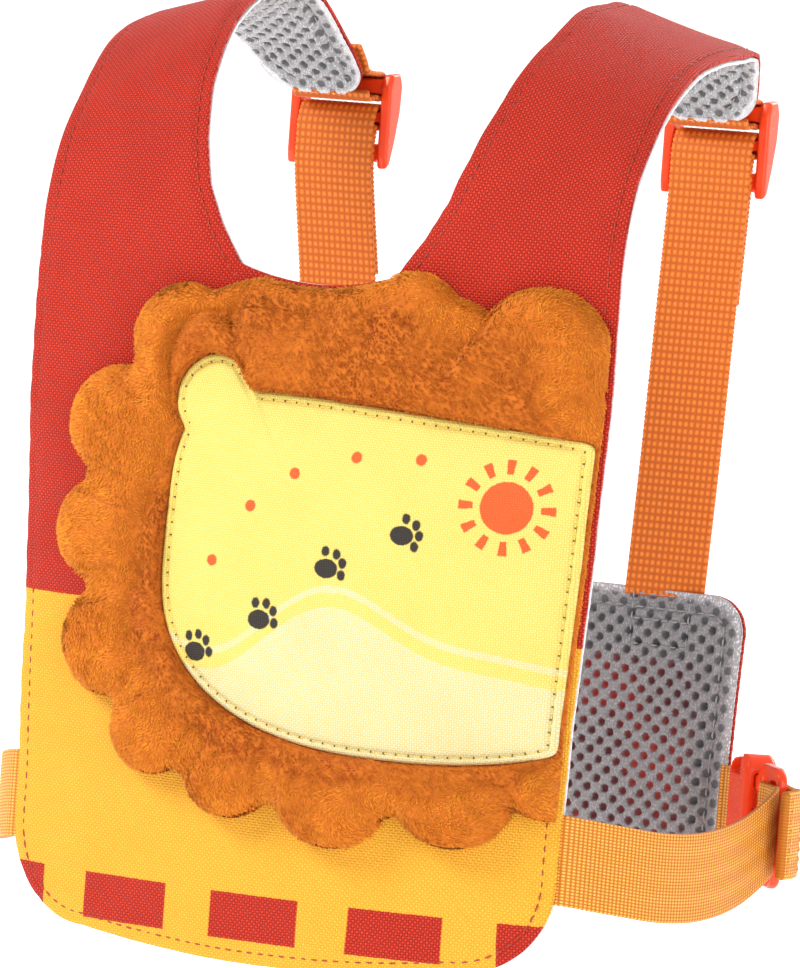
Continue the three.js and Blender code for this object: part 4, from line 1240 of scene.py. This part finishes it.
def wrap_round(thick, wide):
    """Radius of a webbing's middle on its way round a bar"""
    return np.hypot(thick / 2, wide / 2) + fit + web_thick / 2


def at_slider(side, off, up):
    return [side * slider_at[0], slider_at[1] + off, slider_at[2] + up]


def between(t, start, end, low, high):
    return (end - t) / (end - start) * low + (t - start) / (end - start) * high


def at_length(u, along, line):
    return np.stack([np.interp(u, along, line[:, k]) for k in range(3)], -1)


def curve_through(points, step):
    """A smooth line through the points, with even steps"""
    points = np.asarray(points, float)
    points = np.concatenate([[2 * points[0] - points[1]], points, [2 * points[-1] - points[-2]]])
    knots = np.concatenate([[0], np.cumsum(np.linalg.norm(np.diff(points, axis=0), axis=1) ** 0.5)])
    found = []
    for k in range(1, len(points) - 2):
        t0, t1, t2, t3 = knots[k - 1:k + 3]
        p0, p1, p2, p3 = points[k - 1:k + 3]
        t = np.linspace(t1, t2, 25)[:-1, None]
        middle = between(t, t1, t2, p1, p2)
        low = between(t, t0, t2, between(t, t0, t1, p0, p1), middle)
        high = between(t, t1, t3, middle, between(t, t2, t3, p2, p3))
        found.append(between(t, t1, t2, low, high))
    found = np.concatenate(found + [points[-2:-1]])
    far = np.concatenate([[0], np.cumsum(np.linalg.norm(np.diff(found, axis=0), axis=1))])
    even = np.linspace(0, far[-1], max(3, int(far[-1] / step) + 1))
    return at_length(even, far, found), even


def webbing(points, across, weave, thick=web_thick):
    """A length of woven webbing along a line; weave gives the relief at (across, along)"""
    line, along = curve_through(points, web_step)
    on = unit(np.gradient(line, axis=0))
    if callable(across):
        across = across(line)
    across = np.broadcast_to(np.asarray(across, float), line.shape)
    out = crossed(across, on)
    v = (lines(web_wide, web_step) - 0.5) * web_wide
    near = web_wide / 2 - np.abs(v)
    body = thick / 2 * np.sqrt(1 - (1 - np.clip((near + 0.12) / 0.9, 0, 1)) ** 2)
    edge = 0.18 * np.sin(along * 2 * np.pi / selvedge_pitch)[:, None] * np.sign(v) * (near < 0.7)
    centre = line[:, None] + across[:, None] * (v + edge)[..., None]
    faces = []
    for face, over, ahead in ((1, 0, 0), (-1, 0.9, 0.7)):
        relief = weave(v[None, :] + over, along[:, None] + ahead) * np.clip(near / 0.8, 0, 1)
        faces.append((centre + face * out[:, None] * (body + relief)[..., None]).reshape(-1, 3))
    points, quads = closed(cells(np.arange(v.size * len(line)).reshape(len(line), v.size)), *faces)
    across_place, along_place = np.meshgrid(v, along)
    return points, quads, two_faces(across_place.ravel(), along_place.ravel())


def web_place(points, across, face):
    """Places on one face of a webbing: v across it, u along it, h off it; also its length"""
    line, along = curve_through(points, 0.5)
    on = np.gradient(line, axis=0)
    across = np.asarray(across, float)
    out = face * crossed(np.broadcast_to(across, line.shape), on)

    def place(v, u, h):
        off = at_length(u, along, out)
        return at_length(u, along, line) + across * np.asarray(v)[..., None] + off * np.asarray(h)[..., None]

    return place, along[-1]


def web_piece(name, node_name, body, cloth, sewn=()):
    """One length of webbing with its stitches, in place of its solid"""
    parts = [(*body[:2], 0)] + [(*line, 1) for line in sewn]
    made = piece(name, parts, [cloth, orange_thread], flat=body[2])
    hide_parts(node_name)


def coarse_grid(v, along):
    """Relief of the shoulder webbing: raised blocks in rows and columns"""
    u, v = v / coarse_pitch[0], along / coarse_pitch[1]
    return 0.22 * np.sin(np.pi * u) ** 2 * np.sin(np.pi * v) ** 2 - 0.1


def fine_ribs(v, along):
    """Relief of the waist webbing: close ribs across it, broken by the warp"""
    ribs = np.sin(np.pi * along / fine_pitch[1] + 0.5 * np.sin(v * 0.9)) ** 2
    return 0.16 * ribs * (0.65 + 0.35 * np.sin(np.pi * v / fine_pitch[0]) ** 2) - 0.08


def webbing_material(name, dark, base, light, pitches):
    """Woven polypropylene webbing: yarn crowns in a painted highlight, painted shade in the gaps between the
    ribs
    """
    material, t, shader = new_material(name)
    place = flat_place(t)
    u, v = (math("SINE", axis * (np.pi / pitch)) for axis, pitch in zip(axes(place), pitches))
    crowns = u * u * (v * v)
    fibre = noise(vector("MULTIPLY", place, (5.0, 1.2, 1.0)), 1.6, 3.0)
    # dark is painted shade in the gaps, light a painted highlight on the crowns
    colour = blend(step_mask(crowns, 0.02, 0.4), dark, base)
    set_inputs(shader, {
        "Base Color": blend(step_mask(crowns, 0.4, 0.95) * step_mask(fibre, 0.4, 0.62), colour, light),
        "Roughness": mix_value(fibre, 0.45, 0.7),
        "Normal": bumped(crowns * 0.6 + fibre * 0.5, 0.6, 0.0004),
        "Specular IOR Level": 0.3,
        "Sheen Weight": 0.05,
    })
    return material


# Colours: painted shade in the gaps, the webbing's own orange, painted highlight on the crowns
coarse_web = webbing_material(
    "coarse_webbing", (0.52, 0.1, 0.006, 1), (0.74, 0.17, 0.014, 1), (0.95, 0.28, 0.04, 1), coarse_pitch
)
orange_thread = thread_material("orange_thread", (0.6, 0.2, 0.02, 1), (1.0, 0.55, 0.16, 1))
for name, side in (("left", -1), ("right", 1)):
    bar = (top_bar[0] + top_bar[1]) / 2
    wrap = wrap_round(slider_thick, top_bar[1] - top_bar[0])
    start = [drape(slider_at[0], strap_end + out, shell_top / 2) for out in (-1.2, 0.3, 1.4)]
    end = [
        drape(slider_at[0], strap_end - tab_lap * share, shell_top + fit + web_thick / 2)
        for share in (0.4, 0.6, 0.8, 1.0)
    ]
    points = [[side * slider_at[0], p[1], p[2]] for p in start]
    points += [at_slider(side, *p) for p in arc(bar, wrap, -120, 105, 9)]
    points += [[side * slider_at[0], p[1], p[2]] for p in end]
    place, long = web_place(points, (1, 0, 0), -1)
    near, far = long - tab_box_from_end[0], long - tab_box_from_end[1]
    box = np.array([[-tab_box, near], [tab_box, near], [tab_box, far], [-tab_box, far]])
    sewn = box_stitch(box, 0.82, (2.9, 2.2, 0.5, 0.3), place)
    body = webbing(points, (1, 0, 0), coarse_grid)
    web_piece(f"strap_tab_webbing_{name}", f"strap_tab_{name}", body, coarse_web, sewn)

# Shoulder webbing: 25 mm webbing sewn into the back pad's top, up through the slider, round its
# middle bar, and down again as a free tail on the outside.

tail_drop = 46.0
web_belly = 1.0
for name, side in (("left", -1), ("right", 1)):
    layer = slider_thick / 2 + fit + web_thick / 2
    under = layer + web_thick + layer_gap
    bar = (middle_bar[0] + middle_bar[1]) / 2
    wrap = wrap_round(slider_thick, middle_bar[1] - middle_bar[0]) + 0.1

    def on_web(down, off):
        return [
            side * mix(slider_at[0], pad_entry, down),
            mix(slider_at[1] - under, rear_plane, down) + off,
            mix(slider_at[2], pad_top + layer_gap, down),
        ]

    def across_web(line):
        """Square to the body at the slider, and turned along the pad's bow at the pad"""
        turned = side * 2 * pad_bow * pad_entry / pad_half_top**2
        turned = turned * smooth(line[:, 2], pad_top + 40, pad_top)
        turned = np.where(line[:, 1] > slider_at[1] - 1, 0, turned)
        return np.stack([np.cos(turned), -np.sin(turned), np.zeros(len(line))], 1)

    end_share = tail_drop / (slider_at[2] - pad_top)
    points = [on_web(1.018, 0), on_web(1, 0), on_web(0.7, web_belly), on_web(0.4, web_belly)]
    points += [at_slider(side, -under, up) for up in (bottom_bar[0] - 1, bottom_bar[1], middle_bar[0] - 1)]
    points += [at_slider(side, *p) for p in arc(bar, wrap, 150, -115, 10)]
    points += [at_slider(side, -layer, up) for up in (bottom_bar[1] + 1.5, bottom_bar[0] - 0.5)]
    points += [on_web(end_share, web_belly * end_share / 0.4 + web_thick + layer_gap)]
    body = webbing(points, across_web, coarse_grid)
    web_piece(f"shoulder_webbing_{name}_woven", f"shoulder_webbing_{name}", body, coarse_web)

# Buckles: coral side-release buckles, fastened. The plug's arms sit in the socket, and its
# ladder bars hold the waist webbing; the socket's bar hangs in a tab on the back pad.

for side in ("left", "right"):
    moulded(f"plug_moulded_{side}", f"buckle_plug_{side}", 0.0004, 0.32)
    moulded(f"socket_moulded_{side}", f"buckle_socket_{side}", 0.0004, 0.28)

# Waist webbing: 25 mm webbing with close cross ribs, sewn into the panel's side seam and led
# round the waist to the plug's ladder bars; its folded end stands off the plug.

waist_level = -226.0
waist_sag = 5.0
waist_lift = 4.5
buckle_long = 46.0
buckle_end = (84.0, 58.0)
buckle_turn = np.radians(52.0)
frame_thick = 3.0
bar_wide = 3.0
ladder_bar = 8.2
tail_long = 14.0
tail_seams = (2.2, 9.0)
tail_seam_half = 11.3
buckle_level = waist_level + waist_lift


def at_buckle(side, along, off):
    far = buckle_long - along
    return [
        side * (buckle_end[0] + far * np.cos(buckle_turn) + off * np.sin(buckle_turn)),
        buckle_end[1] - far * np.sin(buckle_turn) + off * np.cos(buckle_turn),
        buckle_level,
    ]


# Colours: painted shade in the gaps, the webbing's own orange, painted highlight on the crowns
fine_web = webbing_material(
    "fine_webbing", (0.52, 0.15, 0.01, 1), (0.9, 0.37, 0.03, 1), (1.0, 0.74, 0.26, 1), fine_pitch
)
route = [(0.4, 0.14, 0.5, 0), (0.68, 0.32, 1, 0), (0.85, 0.54, 1.1, 0), (0.94, 0.8, 0.8, 0.35)]
for name, side in (("left", -1), ("right", 1)):
    layer = frame_thick / 2 + fit + web_thick / 2
    bar = ladder_bar + bar_wide / 2
    wrap = wrap_round(frame_thick, bar_wide) + 0.1
    rise = panel_rise + neck_drop + waist_level
    start_a = half_width(rise + web_wide / 2) + layer_gap + web_thick / 2
    edge = drape(start_a, rise, shell_top / 2)
    enter = at_buckle(side, -2.5, -layer)
    points = [[side * (edge[0] - 4.5), edge[1] + 0.4, waist_level], [side * edge[0], edge[1], waist_level]]
    for out, back_share, sag, lift in route:
        points.append([
            side * mix(edge[0], abs(enter[0]), out), mix(edge[1], enter[1], back_share),
            waist_level - waist_sag * sag + waist_lift * lift,
        ])
    points += [enter] + [at_buckle(side, along, -layer) for along in (1.5, 6.7)]
    points += [at_buckle(side, along, off) for off, along in arc(bar, wrap, 205, 0, 8)]
    points += [at_buckle(side, along, layer) for along in (bar_wide, -1.0)]
    body = webbing(points, (0, 0, 1), fine_ribs)
    web_piece(f"waist_webbing_{name}_woven", f"waist_webbing_{name}", body, fine_web)

    start = np.array(at_buckle(side, -1.3, layer + web_thick / 2))
    points = [start] + [
        start + [side * out * tail_long, -forward * tail_long, 0]
        for out, forward in ((0.16, 0.28), (0.2, 0.62), (0.17, 1))
    ]
    body = webbing(points, (0, 0, 1), fine_ribs, thick=2 * web_thick)
    sewn = []
    for face in (-1, 1):
        place, long = web_place(points, (0, 0, 1), face)
        for from_end in tail_seams:
            line = np.array([[-tail_seam_half, long - from_end], [tail_seam_half, long - from_end]])
            sewn.append(seam(line, 1.56, (2.6, 2.0, 0.55, 0.32), False, place))
    web_piece(f"waist_tail_{name}_woven", f"waist_tail_{name}", body, fine_web, sewn)

# Buckle tabs: a short length of the waist webbing, folded round each socket's bar and sewn into
# the back pad's side edge, between its mesh and its red cloth.

for name, side in (("left", -1), ("right", 1)):
    bar = buckle_long - bar_wide / 2 - 0.2
    wrap = wrap_round(frame_thick, bar_wide + 0.4)
    s = buckle_level - pad_top + pad_height + web_wide / 2
    middle = (pad_shell_base + cloth_thick) / 2
    apart = (web_thick + layer_gap) / 2

    def pad_edge(h, out):
        p = pad_place(pad_half_top, s, h)
        return [side * (p[0] + layer_gap + web_thick / 2 + out), p[1], buckle_level]

    points = [pad_edge(middle - apart, -2.5), pad_edge(middle - apart, 0)]
    points += [at_buckle(side, along, off) for off, along in arc(bar, wrap, 150, 390, 9)]
    points += [pad_edge(middle + apart, 0), pad_edge(middle + apart, -2.5)]
    body = webbing(points, (0, 0, 1), fine_ribs)
    web_piece(f"buckle_tab_webbing_{name}", f"buckle_tab_{name}", body, fine_web)

# Camera, floor and light: the photograph's own angle, with plain soft studio light.

frame_wide = 800
frame_middle = (400, 484)
seen_middle = (415, 478)
pixels_per_mm = 3.46
sensor = 36.0
distance = 1.9
harness_middle = (0.0, 0.0, -0.13)
floor_level = -0.33
sweep_start = 5.5
sweep_radius = 1.2
camera_data = bpy.data.cameras.new("camera")
camera = new_object("camera", camera_data)
bpy.context.scene.camera = camera
theta, phi, tilt = np.radians([24.0, 3.5, 4.2])
back = np.array([np.sin(theta) * np.cos(phi), -np.cos(theta) * np.cos(phi), np.sin(phi)])
right_level = np.array([np.cos(theta), np.sin(theta), 0.0])
up_level = np.cross(back, right_level)
right = right_level * np.cos(tilt) + up_level * np.sin(tilt)
up = -right_level * np.sin(tilt) + up_level * np.cos(tilt)
eye = np.array(harness_middle) + back * distance
camera.matrix_world = Matrix([[right[k], up[k], back[k], eye[k]] for k in range(3)] + [[0, 0, 0, 1]])
camera_data.sensor_fit = "HORIZONTAL"
camera_data.sensor_width = sensor
camera_data.lens = pixels_per_mm * 1000 * distance * sensor / frame_wide
camera_data.shift_x = (frame_middle[0] - seen_middle[0]) / frame_wide
camera_data.shift_y = (seen_middle[1] - frame_middle[1]) / frame_wide
camera_data.clip_end = 20

floor_mesh = bpy.data.meshes.new("floor")
profile = [(-8.0, floor_level)]
for turn in np.radians(np.linspace(0, 90, 13)):
    out, rise = sweep_radius * np.sin(turn), sweep_radius * (1 - np.cos(turn))
    profile.append((sweep_start + out, floor_level + rise))
profile.append((sweep_start + sweep_radius, 7.0))
spots = [(x, y, z) for x in (-9.0, 9.0) for y, z in profile]
count = len(profile)
floor_mesh.from_pydata(spots, [], [(k, k + count, k + count + 1, k + 1) for k in range(count - 1)])
floor = new_object("floor", floor_mesh)
pale_floor, t, shader = new_material("pale_floor")
set_inputs(shader, {
    "Base Color": blend(noise(object_place(t), 3.0), (0.92, 0.92, 0.92, 1), (0.94, 0.94, 0.94, 1)),
    "Roughness": 0.9,
    "Emission Color": (1, 1, 1, 1),
    "Emission Strength": 0.5,
})
floor_mesh.materials.append(pale_floor)


def soft_light(name, place, power, size):
    """A square soft box that faces the harness"""
    light = bpy.data.lights.new(name, "AREA")
    light.energy = power
    light.size = size
    made = new_object(name, light)
    made.location = place
    made.rotation_euler = (Vector(harness_middle) - Vector(place)).to_track_quat("-Z", "Y").to_euler()


soft_light("key", (-1.3, -1.3, 1.2), 43, 0.8)
soft_light("fill", (1.7, -1.2, 0.3), 17, 1.4)
soft_light("rim", (0.6, 1.5, 1.0), 20, 1.0)
world = bpy.data.worlds.new("world")
world.use_nodes = True
set_inputs(world.node_tree.nodes["Background"], {"Color": (1, 1, 1, 1), "Strength": 0.6})
bpy.context.scene.world = world
bpy.context.scene.view_settings.view_transform = "Standard"

bpy.context.view_layer.update()
